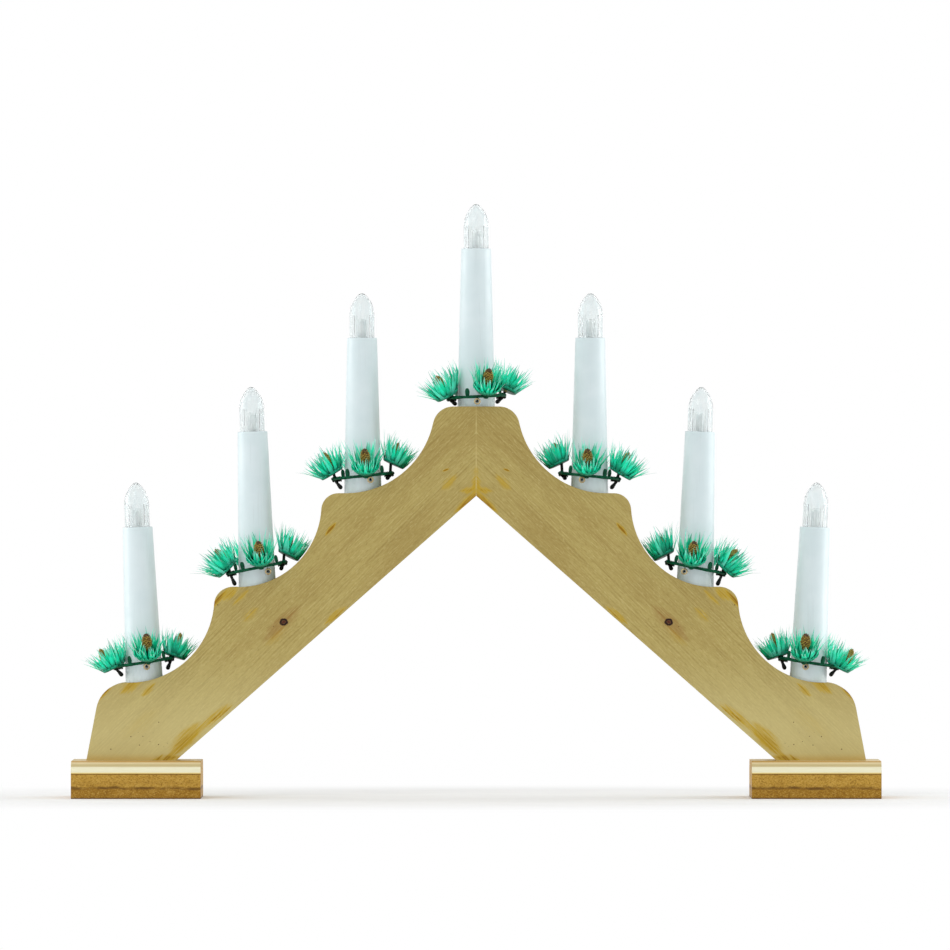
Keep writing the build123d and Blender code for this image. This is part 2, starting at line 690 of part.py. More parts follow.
def wreath_ring(place):
    """The ring, its eyes for the cone wires and the leaf tabs between them."""
    boss = Cylinder(BOSS_R, BOSS_LENGTH)
    eye = Cylinder(TWIST_R + PEG_FIT, TWO * BOSS_LENGTH)
    leaf = extrude(Plane.YZ * Ellipse(TAB_WIDE / TWO, TAB_TALL / TWO), TAB_THICK / TWO, both=True)
    frames = [sprig_frame(place, k) for k in range(SPRIG_COUNT)]
    tabs = [Rot(0, 0, turn) * Pos(RING_R, 0, TAB_TALL / TWO) * leaf for turn in tab_turns(place)]
    ring = Torus(RING_R, RING_WIRE_R).fuse(*[frame * boss for frame in frames], *tabs)
    return ring_frame(place) * ring.cut(*[frame * eye for frame in frames])


def strand(length):
    """One tapered four-sided needle."""
    foot_face = Rectangle(STRAND_BASE, STRAND_BASE)
    tip_face = Pos(0, 0, length) * Rectangle(STRAND_TIP, STRAND_TIP)
    return loft([foot_face, tip_face], ruled=True)


def sprig(fan):
    """A sprig: a disc of green backing with its outer needles fanned out by an angle."""
    disc = Pos(0, 0, SPRIG_RISE) * Cylinder(DISC_R, DISC_THICK)
    rows = (
        (OUTER_STRANDS, OUTER_STRAND_R, OUTER_STRAND_LENGTH, fan),
        (INNER_STRANDS, INNER_STRAND_R, INNER_STRAND_LENGTH, INNER_STRAND_LEAN),
    )
    foot_height = SPRIG_RISE + DISC_THICK / TWO - STRAND_SINK
    needles = []
    for count, radius, length, lean in rows:
        needle = Pos(radius, 0, foot_height) * Rot(0, lean, 0) * strand(length)
        needles += [Rot(0, 0, FULL_TURN * k / count) * needle for k in range(count)]
    hole = Pos(0, 0, SPRIG_RISE) * Cylinder(DISC_HOLE_R, TWO * DISC_THICK)
    return disc.fuse(*needles) - hole


def wreath_needles(place, free_sprig, wall_sprig):
    """The four sprigs of one ring, the one beside the rising wood with a closer fan."""
    turns = range(SPRIG_COUNT)
    shapes = [wall_sprig if faces_wall(place, k) else free_sprig for k in turns]
    return [ring_frame(place) * sprig_frame(place, k) * shape for k, shape in zip(turns, shapes)]


def cone_body():
    """A small cone with rows of scales, its foot at the origin."""
    points = [(0, 0)]
    for k in range(CONE_SCALES):
        low = k / CONE_SCALES
        for share, edge in ((low, 0.0), (low, SCALE_DEPTH)):
            fullness = CONE_FOOT_SHARE + (1 - CONE_FOOT_SHARE) * math.sin(math.pi * min(TWO * share, 1) / TWO)
            narrowing = 1 - (1 - CONE_TOP_SHARE) * max(TWO * share - 1, 0) ** TWO
            radius = (CONE_R - SCALE_DEPTH) * fullness * narrowing
            points.append((radius + edge, share * CONE_LENGTH))
    points += [((CONE_R - SCALE_DEPTH) * CONE_TOP_SHARE, CONE_LENGTH), (0, CONE_LENGTH)]
    return turned(points)


def cone_wire(place, k, frame):
    """The wire from a cone down through its eye to a knob that rests on the wood."""
    top = Vector((frame * Location((0, 0, SPRIG_RISE + CONE_RISE))).position)
    below = Vector((frame * Location((0, 0, -TWIST_BELOW))).position)
    turn = math.radians(sprig_turns(place)[k])
    centre = Vector(ring_frame(place).position)
    foot_x = centre.X + TWIST_FOOT_R * math.cos(turn)
    foot_z = over_wood(abs(foot_x), KNOB_R + REST_GAP)
    knob = Vector(foot_x, centre.Y + TWIST_FOOT_R * math.sin(turn), foot_z)
    path = FilletPolyline(top, below, knob, radius=TWIST_BEND)
    section = Plane(origin=path @ 0, z_dir=path % 0) * Circle(TWIST_R)
    return sweep(section, path=path) + Plane(origin=knob, z_dir=path % 1) * Sphere(KNOB_R)


def wreath_cones(place, cone):
    """The four cones of one ring, each on its own wire."""
    cones = []
    for k in range(SPRIG_COUNT):
        frame = ring_frame(place) * sprig_frame(place, k)
        seated = frame * Pos(0, 0, SPRIG_RISE + CONE_RISE) * cone
        cones.append(seated + cone_wire(place, k, frame))
    return cones


def save(name, *pieces):
    """Write one node, made of one or more separate solids."""
    solids = [solid for piece in pieces for solid in piece.solids()]
    shape = solids[0] if len(solids) == 1 else Compound(solids)
    export_step(shape, f"parts/{name}.step")


os.makedirs("parts", exist_ok=True)

for name, side in (("left", LEFT), ("right", RIGHT)):
    save(f"{name}_leg", leg(side))
    save(f"{name}_foot", foot(side))

save("foot_screws", *[frame * foot_screw() for side in (LEFT, RIGHT) for frame in screw_frames(side)])
save("mitre_dowels", *[frame * dowel() for frame in dowel_frames()])
save("wire_staples", *[rear_frame(side, reach, 0) * staple() for side, reach in staple_places()])
save("cable_gland", cable_gland())
save("lamp_sockets", *[candle_frame(place) * socket_core() for place in PLACES])
contacts = [candle_frame(place) * piece() for place in PLACES for piece in (socket_shell, socket_centre)]
save("socket_contacts", *contacts)
save("wires", feed_wire(), *[link_wire(place) for place in PLACES[:-1]], return_wire())

free_sprig = sprig(FREE_FAN)
wall_sprig = sprig(WALL_FAN)
cone = cone_body()
for place in PLACES:
    frame = candle_frame(place)
    save(f"candle_tube_{place}", frame * candle_tube())
    save(f"lamp_dome_{place}", frame * lamp_dome())
    save(f"lamp_cap_{place}", frame * lamp_cap())
    save(f"lamp_led_{place}", frame * lamp_led())
    save(f"wreath_ring_{place}", wreath_ring(place))
    save(f"wreath_needles_{place}", *wreath_needles(place, free_sprig, wall_sprig))
    save(f"wreath_cones_{place}", *wreath_cones(place, cone))
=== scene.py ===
"""The looks of the candle arch: its finishes, its green rings, and the studio round it.

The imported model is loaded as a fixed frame. The boards, feet, tubes, lamps, wiring and fixings
keep their own meshes and are given finishes. The green rings, with their sprigs, cones and wires,
are modelled in full here and stand for their plain nodes. Lengths are in millimetres and angles
in degrees, unless a docstring says otherwise.
"""

import json
import logging
import math
import random
from dataclasses import dataclass, replace
from enum import Enum

import bpy
from mathutils import Matrix, Vector
from mathutils.bvhtree import BVHTree

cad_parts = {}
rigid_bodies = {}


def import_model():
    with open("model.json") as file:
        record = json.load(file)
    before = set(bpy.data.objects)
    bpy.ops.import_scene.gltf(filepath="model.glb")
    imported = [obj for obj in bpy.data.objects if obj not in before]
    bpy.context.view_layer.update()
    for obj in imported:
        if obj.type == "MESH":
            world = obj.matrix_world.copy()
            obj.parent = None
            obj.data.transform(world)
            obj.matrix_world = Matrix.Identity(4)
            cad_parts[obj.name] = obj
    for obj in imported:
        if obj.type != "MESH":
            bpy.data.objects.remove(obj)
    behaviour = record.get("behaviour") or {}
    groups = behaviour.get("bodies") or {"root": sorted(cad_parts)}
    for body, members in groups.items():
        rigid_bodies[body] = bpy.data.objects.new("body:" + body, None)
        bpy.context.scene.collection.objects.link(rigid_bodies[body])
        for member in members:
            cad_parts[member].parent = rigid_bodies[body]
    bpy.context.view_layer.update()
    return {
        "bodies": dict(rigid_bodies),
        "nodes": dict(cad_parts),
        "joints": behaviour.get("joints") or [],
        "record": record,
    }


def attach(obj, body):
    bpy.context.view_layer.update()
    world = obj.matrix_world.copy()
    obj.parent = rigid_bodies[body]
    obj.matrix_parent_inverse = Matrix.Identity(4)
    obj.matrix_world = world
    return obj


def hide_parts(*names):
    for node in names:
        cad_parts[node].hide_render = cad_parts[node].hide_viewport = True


LOG = logging.getLogger("candle_arch")
MM = 0.001
NEEDLE_REACH = 27.9
SHARP_ANGLE = 50
GOLDEN_TURN = 137.5
ORIGIN = (0.0, 0.0, 0.0)
WHITE = (1.0, 1.0, 1.0)

Colour = tuple[float, float, float]
Point = tuple[float, float]
Row = tuple[float, ...]
Table = tuple[Row, ...]
Faces = list[tuple[int, ...]]
Form = tuple[list[Vector], Faces]
Socket = bpy.types.NodeSocket
Outputs = bpy.types.NodeOutputs
Sockets = dict[str, Socket]
Feeds = dict[str, object]


def seen(red: int, green: int, blue: int) -> Colour:
    """The linear colour that a shader takes for one seen on a screen, each part from 0 to 255."""
    shares = [value / 255 for value in (red, green, blue)]
    return tuple(s / 12.92 if s <= 0.04045 else ((s + 0.055) / 1.055) ** 2.4 for s in shares)


class Side(Enum):
    """The two halves of the arch, seen from the front."""

    LEFT = -1
    RIGHT = 1

    @property
    def word(self) -> str:
        """The half's name as it stands in the names of nodes."""
        return self.name.lower()


class Graph:
    """Adds and joins shader nodes in one tree."""

    def __init__(self, tree: bpy.types.NodeTree) -> None:
        """Start on the tree that the nodes go into."""
        self.tree = tree

    def give(self, socket: Socket, value: object) -> None:
        """Feed an input from another node's output, or set its plain value.

        Args:
            socket: The input socket.
            value: An output socket, a number, a vector or a colour.
        """
        if isinstance(value, bpy.types.NodeSocket):
            self.tree.links.new(value, socket)
        elif socket.type == "RGBA" and len(value) == 3:
            socket.default_value = (*value, 1.0)
        else:
            socket.default_value = value

    def node(self, kind: str, feeds: dict | None = None, **settings: object) -> bpy.types.Node:
        """Add one node.

        Args:
            kind: The node's type name, without the leading ShaderNode.
            feeds: What goes into its inputs, by input name or number.
            settings: The node's own properties.

        Returns:
            The new node.
        """
        made = self.tree.nodes.new("ShaderNode" + kind)
        for key, value in settings.items():
            setattr(made, key, value)
        for key, value in (feeds or {}).items():
            self.give(made.inputs[key], value)
        return made

    def math(self, what: str, first: object, second: object = 0.0, clamp: bool = False) -> Socket:
        """One number worked out from two, held between 0 and 1 if clamp is set."""
        return self.node("Math", {0: first, 1: second}, operation=what, use_clamp=clamp).outputs[0]

    def times(self, first: object, second: object, clamp: bool = False) -> Socket:
        """The product of two numbers."""
        return self.math("MULTIPLY", first, second, clamp)

    def plus(self, first: object, second: object) -> Socket:
        """The sum of two numbers."""
        return self.math("ADD", first, second)

    def minus(self, first: object, second: object) -> Socket:
        """The first number less the second."""
        return self.math("SUBTRACT", first, second)

    def vector(self, what: str, first: object, second: object = ORIGIN) -> Socket:
        """A vector worked out from two, or the number that a length or a dot product is."""
        made = self.node("VectorMath", {0: first, 1: second}, operation=what)
        return made.outputs["Value" if what in ("LENGTH", "DOT_PRODUCT") else "Vector"]

    def stretch(self, point: Socket, by: tuple[float, float, float]) -> Socket:
        """A point with its three parts scaled by three factors."""
        return self.vector("MULTIPLY", point, by)

    def rise(
        self, value: object, low: object, high: object, start: float = 0.0, end: float = 1.0
    ) -> Socket:
        """A number that eases from start to end while a value goes from low to high."""
        feeds = {"Value": value, "From Min": low, "From Max": high, "To Min": start, "To Max": end}
        return self.node("MapRange", feeds, interpolation_type="SMOOTHSTEP").outputs["Result"]

    def noise(
        self, point: Socket, scale: object, detail: float = 2.0, roughness: float = 0.5
    ) -> Socket:
        """Soft cloudy noise near one half, of some fineness, with some finer layers in it."""
        feeds = {"Vector": point, "Scale": scale, "Detail": detail, "Roughness": roughness}
        return self.node("TexNoise", feeds).outputs["Fac"]

    def strokes(
        self, point: Socket, by: tuple[float, float, float], detail: float = 2.0, rough: float = 0.5
    ) -> Socket:
        """Noise of a different fineness along each axis."""
        return self.noise(self.stretch(point, by), 1.0, detail, rough)

    def mix(self, share: object, first: object, second: object) -> Socket:
        """Two colours blended, by the share that the second one has."""
        return self.node("Mix", {0: share, 6: first, 7: second}, data_type="RGBA").outputs[2]

    def layers(self, colour: object, *coats: tuple[object, object]) -> Socket:
        """Lay colours over one another.

        Args:
            colour: The lowest colour.
            coats: The share and the colour of each further layer, from below.

        Returns:
            The colour that comes out.
        """
        for share, coat in coats:
            colour = self.mix(share, colour, coat)
        return colour

    def place(self, effect: type["Effect"], **values: object) -> Outputs:
        """The outputs of a shared effect that is placed in this tree, given some of its inputs."""
        return self.node("Group", values, node_tree=effect.group()).outputs


def cleared(owner: bpy.types.Material | bpy.types.World) -> Graph:
    """Start an empty node tree.

    Args:
        owner: The new material or world whose tree it is.

    Returns:
        The tree's graph.
    """
    owner.use_nodes = True
    owner.node_tree.nodes.clear()
    return Graph(owner.node_tree)


class Effect:
    """A look that several finishes share: one shader node group, built once."""

    title = ""
    takes: Feeds = {}

    @classmethod
    def group(cls) -> bpy.types.NodeTree:
        """The effect's node group, built at the first call.

        Returns:
            The shared node group.
        """
        tree = bpy.data.node_groups.get(cls.title)
        if tree is None:
            tree = bpy.data.node_groups.new(cls.title, "ShaderNodeTree")
            for name, value in cls.takes.items():
                kind = "NodeSocketVector" if isinstance(value, tuple) else "NodeSocketFloat"
                socket = tree.interface.new_socket(name, in_out="INPUT", socket_type=kind)
                socket.default_value = value
            graph = Graph(tree)
            gives = cls.wire(graph, tree.nodes.new("NodeGroupInput").outputs)
            for name in gives:
                tree.interface.new_socket(name, in_out="OUTPUT", socket_type="NodeSocketFloat")
            outer = tree.nodes.new("NodeGroupOutput").inputs
            for name, value in gives.items():
                graph.give(outer[name], value)
        return tree

    @classmethod
    def wire(cls, graph: Graph, inner: Outputs) -> Sockets:
        """What each of the effect's outputs puts out, from the group's inputs."""
        raise NotImplementedError


class GrowthRings(Effect):
    """Growth rings and fibres of a sawn board whose grain runs along X."""

    title = "growth rings"
    takes = {
        "Point": ORIGIN, "Pith": (0.0, 60.0, -300.0), "Spacing": 1.45, "Waver": 3.0, "Push": 0.0,
    }

    @classmethod
    def wire(cls, graph: Graph, inner: Outputs) -> Sockets:
        """Join the nodes of the rings, the broad tone, the fibres and the flecks.

        Args:
            graph: The group's own graph.
            inner: The group's inputs.

        Returns:
            The dark late wood, the broad tone, the fibres, the short flecks and a bump height.
        """
        point = inner["Point"]
        across = graph.stretch(graph.vector("SUBTRACT", point, inner["Pith"]), (0.0, 1.0, 1.0))
        broad = graph.strokes(point, (0.008, 0.03, 0.03))
        waver = graph.times(graph.minus(broad, 0.5), inner["Waver"])
        ripple = graph.minus(graph.strokes(point, (0.04, 0.3, 0.3)), 0.5)
        reach = graph.plus(graph.vector("LENGTH", across), waver)
        reach = graph.plus(reach, graph.plus(ripple, inner["Push"]))
        turn = graph.math("DIVIDE", reach, inner["Spacing"])
        year = graph.math("FLOOR", turn)
        share = graph.minus(turn, year)
        chance = graph.node("TexWhiteNoise", {"W": year}, noise_dimensions="1D").outputs["Value"]
        band = graph.times(graph.rise(share, 0.25, 0.8), graph.rise(share, 0.84, 1.0, 1.0, 0.0))
        strength = graph.plus(graph.times(graph.math("POWER", chance, 2.0), 0.8), 0.2)
        faded = graph.rise(graph.strokes(point, (0.025, 0.2, 0.2)), 0.32, 0.62, 0.3, 1.0)
        late = graph.times(graph.times(band, strength), faded)
        fibre = graph.strokes(point, (0.09, 2.6, 2.6), 3.0, 0.65)
        return {
            "Late": late,
            "Tone": graph.strokes(point, (0.014, 0.07, 0.07)),
            "Fibre": fibre,
            "Fleck": graph.strokes(point, (0.45, 1.7, 1.7), 3.0, 0.7),
            "Height": graph.plus(graph.times(late, 0.6), fibre),
        }


class SapStreak(Effect):
    """A lens of resin between two points of a board's face, feathered along the grain."""

    title = "sap streak"
    takes = {
        "Point": ORIGIN, "Grain": ORIGIN, "Start": ORIGIN, "End": ORIGIN, "Width": 1.0, "Rag": 1.0,
    }

    @classmethod
    def wire(cls, graph: Graph, inner: Outputs) -> Sockets:
        """Join the nodes that measure how far off the streak's line is, and thin its ends.

        Args:
            graph: The group's own graph.
            inner: The group's inputs.

        Returns:
            The streak's mask.
        """
        gap = graph.vector("SUBTRACT", inner["Point"], inner["Start"])
        span = graph.vector("SUBTRACT", inner["End"], inner["Start"])
        along = graph.vector("DOT_PRODUCT", gap, span)
        whole = graph.vector("DOT_PRODUCT", span, span)
        share = graph.math("DIVIDE", along, whole, clamp=True)
        scaled = {0: span, "Scale": share}
        foot = graph.node("VectorMath", scaled, operation="SCALE").outputs["Vector"]
        away = graph.vector("LENGTH", graph.vector("SUBTRACT", gap, foot))
        bulge = graph.times(graph.times(share, graph.minus(1.0, share)), 4.0)
        thick = graph.times(graph.math("POWER", bulge, 0.6), inner["Width"])
        long = graph.strokes(inner["Grain"], (0.09, 1.1, 1.1), 3.0, 0.65)
        short = graph.noise(inner["Point"], 0.7, 3.0, 0.6)
        ragged = graph.minus(graph.plus(graph.times(long, 0.7), graph.times(short, 0.3)), 0.5)
        away = graph.plus(away, graph.times(ragged, graph.times(inner["Rag"], 4.0)))
        mask = graph.rise(graph.minus(thick, away), 0.0, inner["Width"])
        feathers = graph.strokes(inner["Grain"], (0.07, 1.6, 1.6), 2.0, 0.6)
        patchy = graph.rise(feathers, 0.3, 0.62, 0.35, 1.15)
        return {"Mask": graph.times(mask, patchy, clamp=True)}


class Knot(Effect):
    """A small round knot, and how far it pushes the rings round it aside."""

    title = "knot"
    takes = {"Point": ORIGIN, "Centre": ORIGIN, "Radius": 1.5}

    @classmethod
    def wire(cls, graph: Graph, inner: Outputs) -> Sockets:
        """Join the nodes of the knot's core, its dark rim and the push.

        Args:
            graph: The group's own graph.
            inner: The group's inputs.

        Returns:
            The masks of core and rim, and the push on the rings.
        """
        gap = graph.vector("SUBTRACT", inner["Point"], inner["Centre"])
        away = graph.vector("LENGTH", graph.stretch(gap, (0.85, 0.0, 1.0)))
        ragged = graph.times(graph.minus(graph.noise(inner["Point"], 1.6), 0.5), 1.2)
        share = graph.math("DIVIDE", graph.plus(away, ragged), inner["Radius"])
        near = graph.vector("LENGTH", graph.stretch(gap, (0.16, 0.0, 0.45)))
        fade = graph.rise(near, 0.0, 2.4, 1.0, 0.0)
        height = graph.node("SeparateXYZ", {0: gap}).outputs["Z"]
        side = graph.math("MAXIMUM", graph.math("MINIMUM", graph.times(height, 0.8), 1.0), -1.0)
        return {
            "Core": graph.minus(1.0, graph.rise(share, 0.35, 0.75)),
            "Rim": graph.times(graph.rise(share, 0.4, 0.8), graph.rise(share, 0.9, 1.35, 1.0, 0.0)),
            "Push": graph.times(graph.times(fade, side), graph.times(inner["Radius"], -1.1)),
        }


class Specks(Effect):
    """Scattered small round specks, such as pin holes in wood or gold dust."""

    title = "specks"
    takes = {"Point": ORIGIN, "Spacing": 4.0, "Size": 0.1, "Share": 0.4}

    @classmethod
    def wire(cls, graph: Graph, inner: Outputs) -> Sockets:
        """Join the nodes that pick some cells and put a speck in each.

        Args:
            graph: The group's own graph.
            inner: The group's inputs.

        Returns:
            The mask of the specks.
        """
        scale = graph.math("DIVIDE", 1.0, inner["Spacing"])
        cells = graph.node("TexVoronoi", {"Vector": inner["Point"], "Scale": scale}).outputs
        chance = graph.node("SeparateColor", {0: cells["Color"]}).outputs[0]
        picked = graph.math("LESS_THAN", chance, inner["Share"])
        beyond = graph.rise(cells["Distance"], graph.times(inner["Size"], 0.6), inner["Size"])
        return {"Mask": graph.times(picked, graph.minus(1.0, beyond))}


class MouldedSkin(Effect):
    """The faint clouding and the fine uneven skin of a moulded or painted surface."""

    title = "moulded skin"
    takes = {"Point": ORIGIN, "Size": 6.0, "Grit": 0.5}

    @classmethod
    def wire(cls, graph: Graph, inner: Outputs) -> Sockets:
        """Join the nodes of the clouding and the skin.

        Args:
            graph: The group's own graph.
            inner: The group's inputs.

        Returns:
            The broad tone and a bump height.
        """
        scale = graph.math("DIVIDE", 1.0, inner["Size"])
        skin = graph.noise(inner["Point"], graph.times(scale, 9.0))
        tone = graph.noise(inner["Point"], scale, 3.0)
        return {"Tone": tone, "Height": graph.times(skin, inner["Grit"])}


class DrawnMetal(Effect):
    """Fine lines round or along a drawn, rolled or turned metal surface."""

    title = "drawn metal"
    takes = {"Point": ORIGIN, "Lines": 4.0}

    @classmethod
    def wire(cls, graph: Graph, inner: Outputs) -> Sockets:
        """The tarnish, and a bump height from the lines."""
        lines = graph.noise(graph.stretch(inner["Point"], (0.3, 0.3, 2.0)), inner["Lines"])
        return {"Tone": graph.noise(inner["Point"], 0.4, 3.0), "Height": lines}


class EdgeRub(Effect):
    """Where an edge is rubbed or catches the finish. Its radius is in metres."""

    title = "edge rub"
    takes = {"Radius": 0.0005, "Point": ORIGIN}

    @classmethod
    def wire(cls, graph: Graph, inner: Outputs) -> Sockets:
        """Join the nodes that compare a rounded normal with the true one.

        Args:
            graph: The group's own graph.
            inner: The group's inputs.

        Returns:
            The mask of the edges.
        """
        rounded = graph.node("Bevel", {"Radius": inner["Radius"]}, samples=6).outputs["Normal"]
        true = graph.node("NewGeometry").outputs["Normal"]
        edge = graph.rise(graph.vector("DOT_PRODUCT", rounded, true), 0.72, 0.99, 1.0, 0.0)
        patchy = graph.rise(graph.noise(inner["Point"], 0.35, 3.0), 0.35, 0.6)
        return {"Mask": graph.times(edge, patchy)}


@dataclass(frozen=True)
class Finish:
    """What one surface is made of. Each finish gives one material."""

    title: str

    def material(self) -> bpy.types.Material:
        """The finish's material, built at the first call.

        Returns:
            The material.
        """
        name = f"{self.title}_finish"
        made = bpy.data.materials.get(name)
        if made is None:
            made = bpy.data.materials.new(name)
            graph = cleared(made)
            shader = graph.node("BsdfPrincipled", self.paint(graph))
            graph.node("OutputMaterial", {"Surface": shader.outputs[0]})
        return made

    def paint(self, graph: Graph) -> Feeds:
        """What the finish feeds to its shader, by the names of the shader's inputs."""
        raise NotImplementedError

    @staticmethod
    def spot(graph: Graph) -> Socket:
        """The point on the surface in millimetres, in the piece's own frame."""
        return graph.stretch(graph.node("TexCoord").outputs["Object"], (1000.0, 1000.0, 1000.0))

    @staticmethod
    def bump(graph: Graph, height: Socket, strength: float, depth: float) -> Socket:
        """A normal from a bump height, with the bump's strength and its depth."""
        feeds = {"Height": height, "Strength": strength, "Distance": depth * MM}
        return graph.node("Bump", feeds).outputs["Normal"]

    @staticmethod
    def told(graph: Graph, name: str) -> Socket:
        """A value that the mesh itself carries at each point."""
        return graph.node("Attribute", attribute_name=name).outputs["Fac"]


@dataclass(frozen=True)
class Sap:
    """A streak on a board's face: its two ends by reach and height, its width and strength."""

    start: Point
    end: Point
    width: float
    strength: float = 1.0
    rag: float = 1.0

    def mask(self, graph: Graph, face: Socket, grain: Socket) -> Socket:
        """Where the streak is.

        Args:
            graph: The material's graph.
            face: The point on the board's face.
            grain: The same point along the grain.

        Returns:
            The streak's mask at full strength.
        """
        start, end = [(reach, 0.0, height) for reach, height in (self.start, self.end)]
        ends = {"Start": start, "End": end, "Width": self.width, "Rag": self.rag}
        return graph.place(SapStreak, Point=face, Grain=grain, **ends)["Mask"]


@dataclass(frozen=True)
class BoardPine(Finish):
    """Lacquered pine with its grain along one board of the arch."""

    side: Side
    grain_pitch: float = 44.5
    early: Colour = seen(179, 160, 94)
    shade: Colour = seen(166, 144, 80)
    late: Colour = seen(134, 108, 48)
    pale_fibre: Colour = seen(208, 192, 128)
    pale_fleck: Colour = seen(210, 196, 134)
    # Lighter towards the bottom of the board.
    paler_low: Colour = seen(220, 208, 148)
    # Painted shade on the board just above the top of the foot.
    foot_shade: Colour = seen(199, 160, 72)
    halo: Colour = seen(189, 156, 40)
    resin: Colour = seen(142, 98, 4)
    smear_brown: Colour = seen(138, 90, 34)
    knot_core: Colour = seen(74, 16, 8)
    knot_rim: Colour = seen(34, 5, 0)
    pin_hole: Colour = seen(92, 66, 30)
    lone_hole: Colour = seen(104, 78, 38)
    glue_line: Colour = seen(208, 192, 130)
    rubbed: Colour = seen(186, 160, 92)
    knot: Point = (95.2, 87.0)
    smear: Sap = Sap((106.0, 76.4), (86.4, 95.6), 5.4, 0.6, 1.8)
    pin_patch: Sap = Sap((174.0, 33.0), (150.0, 29.0), 15.0)
    streaks: tuple[Sap, ...] = (
        Sap((-7.0, 156.6), (11.6, 140.6), 3.4, 1.0, 0.6),
        Sap((-4.0, 153.0), (9.4, 151.6), 2.6, 0.7, 0.9),
        Sap((-0.6, 166.0), (1.8, 149.0), 2.4, 0.62, 0.7),
        Sap((151.6, 19.6), (136.0, 34.2), 2.1, 1.0, 0.7),
        Sap((153.0, 20.6), (133.0, 39.0), 6.4, 0.68, 1.6),
        Sap((140.0, 31.6), (119.6, 48.0), 3.6, 0.62, 1.2),
        Sap((133.6, 35.6), (119.6, 46.6), 1.6, 0.95, 0.6),
        Sap((161.0, 18.6), (145.5, 20.6), 3.2, 0.8, 1.0),
        Sap((190.4, 45.4), (178.6, 57.6), 2.2, 1.0, 0.5),
        Sap((176.6, 51.0), (163.4, 62.0), 4.4, 0.7, 1.5),
        Sap((166.0, 50.0), (158.0, 57.4), 2.8, 0.7, 1.1),
        Sap((132.4, 92.6), (122.4, 103.6), 2.2, 1.0, 0.5),
        Sap((126.4, 97.0), (117.2, 105.6), 3.6, 0.7, 1.3),
        Sap((121.0, 94.6), (112.0, 103.4), 2.6, 0.62, 1.1),
        Sap((115.6, 86.6), (107.4, 94.6), 3.6, 0.42, 1.5),
        Sap((75.7, 85.5), (63.4, 95.4), 2.4, 0.95, 0.7),
        Sap((16.8, 161.5), (13.2, 162.9), 0.8, 1.0, 0.2),
        Sap((17.4, 151.6), (9.2, 160.8), 3.8, 0.46, 1.4),
        Sap((178.0, 28.0), (154.0, 46.0), 7.0, 0.16, 2.4),
        Sap((105.0, 74.0), (93.0, 86.0), 3.6, 0.34, 1.6),
        Sap((75.0, 129.0), (69.0, 136.6), 1.8, 1.0, 0.5),
    )

    def paint(self, graph: Graph) -> Feeds:
        """Grain, knot, resin, pin holes and the pale glue line of the mitre.

        Args:
            graph: The material's graph.

        Returns:
            The shader's inputs by name.
        """
        parts = graph.node("SeparateXYZ", {0: self.spot(graph)}).outputs
        reach, height = graph.times(parts["X"], float(self.side.value)), parts["Z"]
        face = graph.node("CombineXYZ", {"X": reach, "Z": height}).outputs[0]
        solid = graph.node("CombineXYZ", {"X": reach, "Y": parts["Y"], "Z": height}).outputs[0]
        turned = {"Vector": solid, "Rotation": (0.0, -math.radians(self.grain_pitch), 0.0)}
        board = graph.node("VectorRotate", turned, rotation_type="EULER_XYZ").outputs[0]
        knot = graph.place(Knot, Point=face, Centre=(self.knot[0], 0.0, self.knot[1]))
        grain = graph.place(GrowthRings, Point=board, Push=knot["Push"])
        colour = graph.layers(
            self.early,
            (graph.rise(grain["Tone"], 0.35, 0.65), self.shade),
            (graph.times(grain["Late"], 0.46), self.late),
            (graph.rise(grain["Fibre"], 0.5, 0.8, 0.0, 0.5), self.late),
            (graph.rise(grain["Fibre"], 0.5, 0.2, 0.0, 0.46), self.pale_fibre),
            (graph.rise(grain["Fleck"], 0.52, 0.78, 0.0, 0.5), self.late),
            (graph.rise(grain["Fleck"], 0.48, 0.22, 0.0, 0.5), self.pale_fleck),
            # Lighter towards the bottom of the board.
            (graph.rise(height, 22.0, 80.0, 0.58, 0.04), self.paler_low),
            # Painted shade on the board just above the top of the foot.
            (graph.rise(height, 18.6, 22.6, 0.5, 0.0), self.foot_shade),
        )
        for streak in self.streaks:
            share = graph.times(streak.mask(graph, face, board), streak.strength)
            colour = graph.layers(
                colour,
                (graph.rise(share, 0.0, 0.6, 0.0, 0.85), self.halo),
                (graph.rise(share, 0.5, 0.95, 0.0, 0.9), self.resin),
            )
        smear = graph.times(self.smear.mask(graph, face, board), self.smear.strength)
        patch = graph.rise(self.pin_patch.mask(graph, face, board), 0.1, 0.4)
        holes = graph.place(Specks, Point=face, Spacing=2.4, Size=0.14, Share=0.7)["Mask"]
        lone = graph.place(Specks, Point=face, Spacing=9.0, Size=0.05, Share=0.35)["Mask"]
        glue = graph.rise(graph.math("ABSOLUTE", reach), 0.1, 0.45, 1.0, 0.0)
        wear = graph.rise(graph.strokes(face, (1.0, 1.0, 0.16), 3.0), 0.36, 0.62, 0.12, 0.6)
        edge = graph.place(EdgeRub, Point=solid)["Mask"]
        colour = graph.layers(
            colour,
            (smear, self.smear_brown),
            (graph.times(knot["Core"], 0.95), self.knot_core),
            (graph.times(knot["Rim"], 1.7, clamp=True), self.knot_rim),
            (graph.times(holes, patch), self.pin_hole),
            (graph.times(lone, 0.8), self.lone_hole),
            (graph.times(glue, wear), self.glue_line),
            (graph.times(edge, 0.35), self.rubbed),
        )
        return {
            "Base Color": colour,
            "Roughness": graph.rise(grain["Late"], 0.0, 1.0, 0.46, 0.38),
            "Normal": self.bump(graph, grain["Height"], 0.3, 0.06),
            "Coat Weight": 0.04,
            "Coat Roughness": 0.3,
            "Specular IOR Level": 0.2,
        }


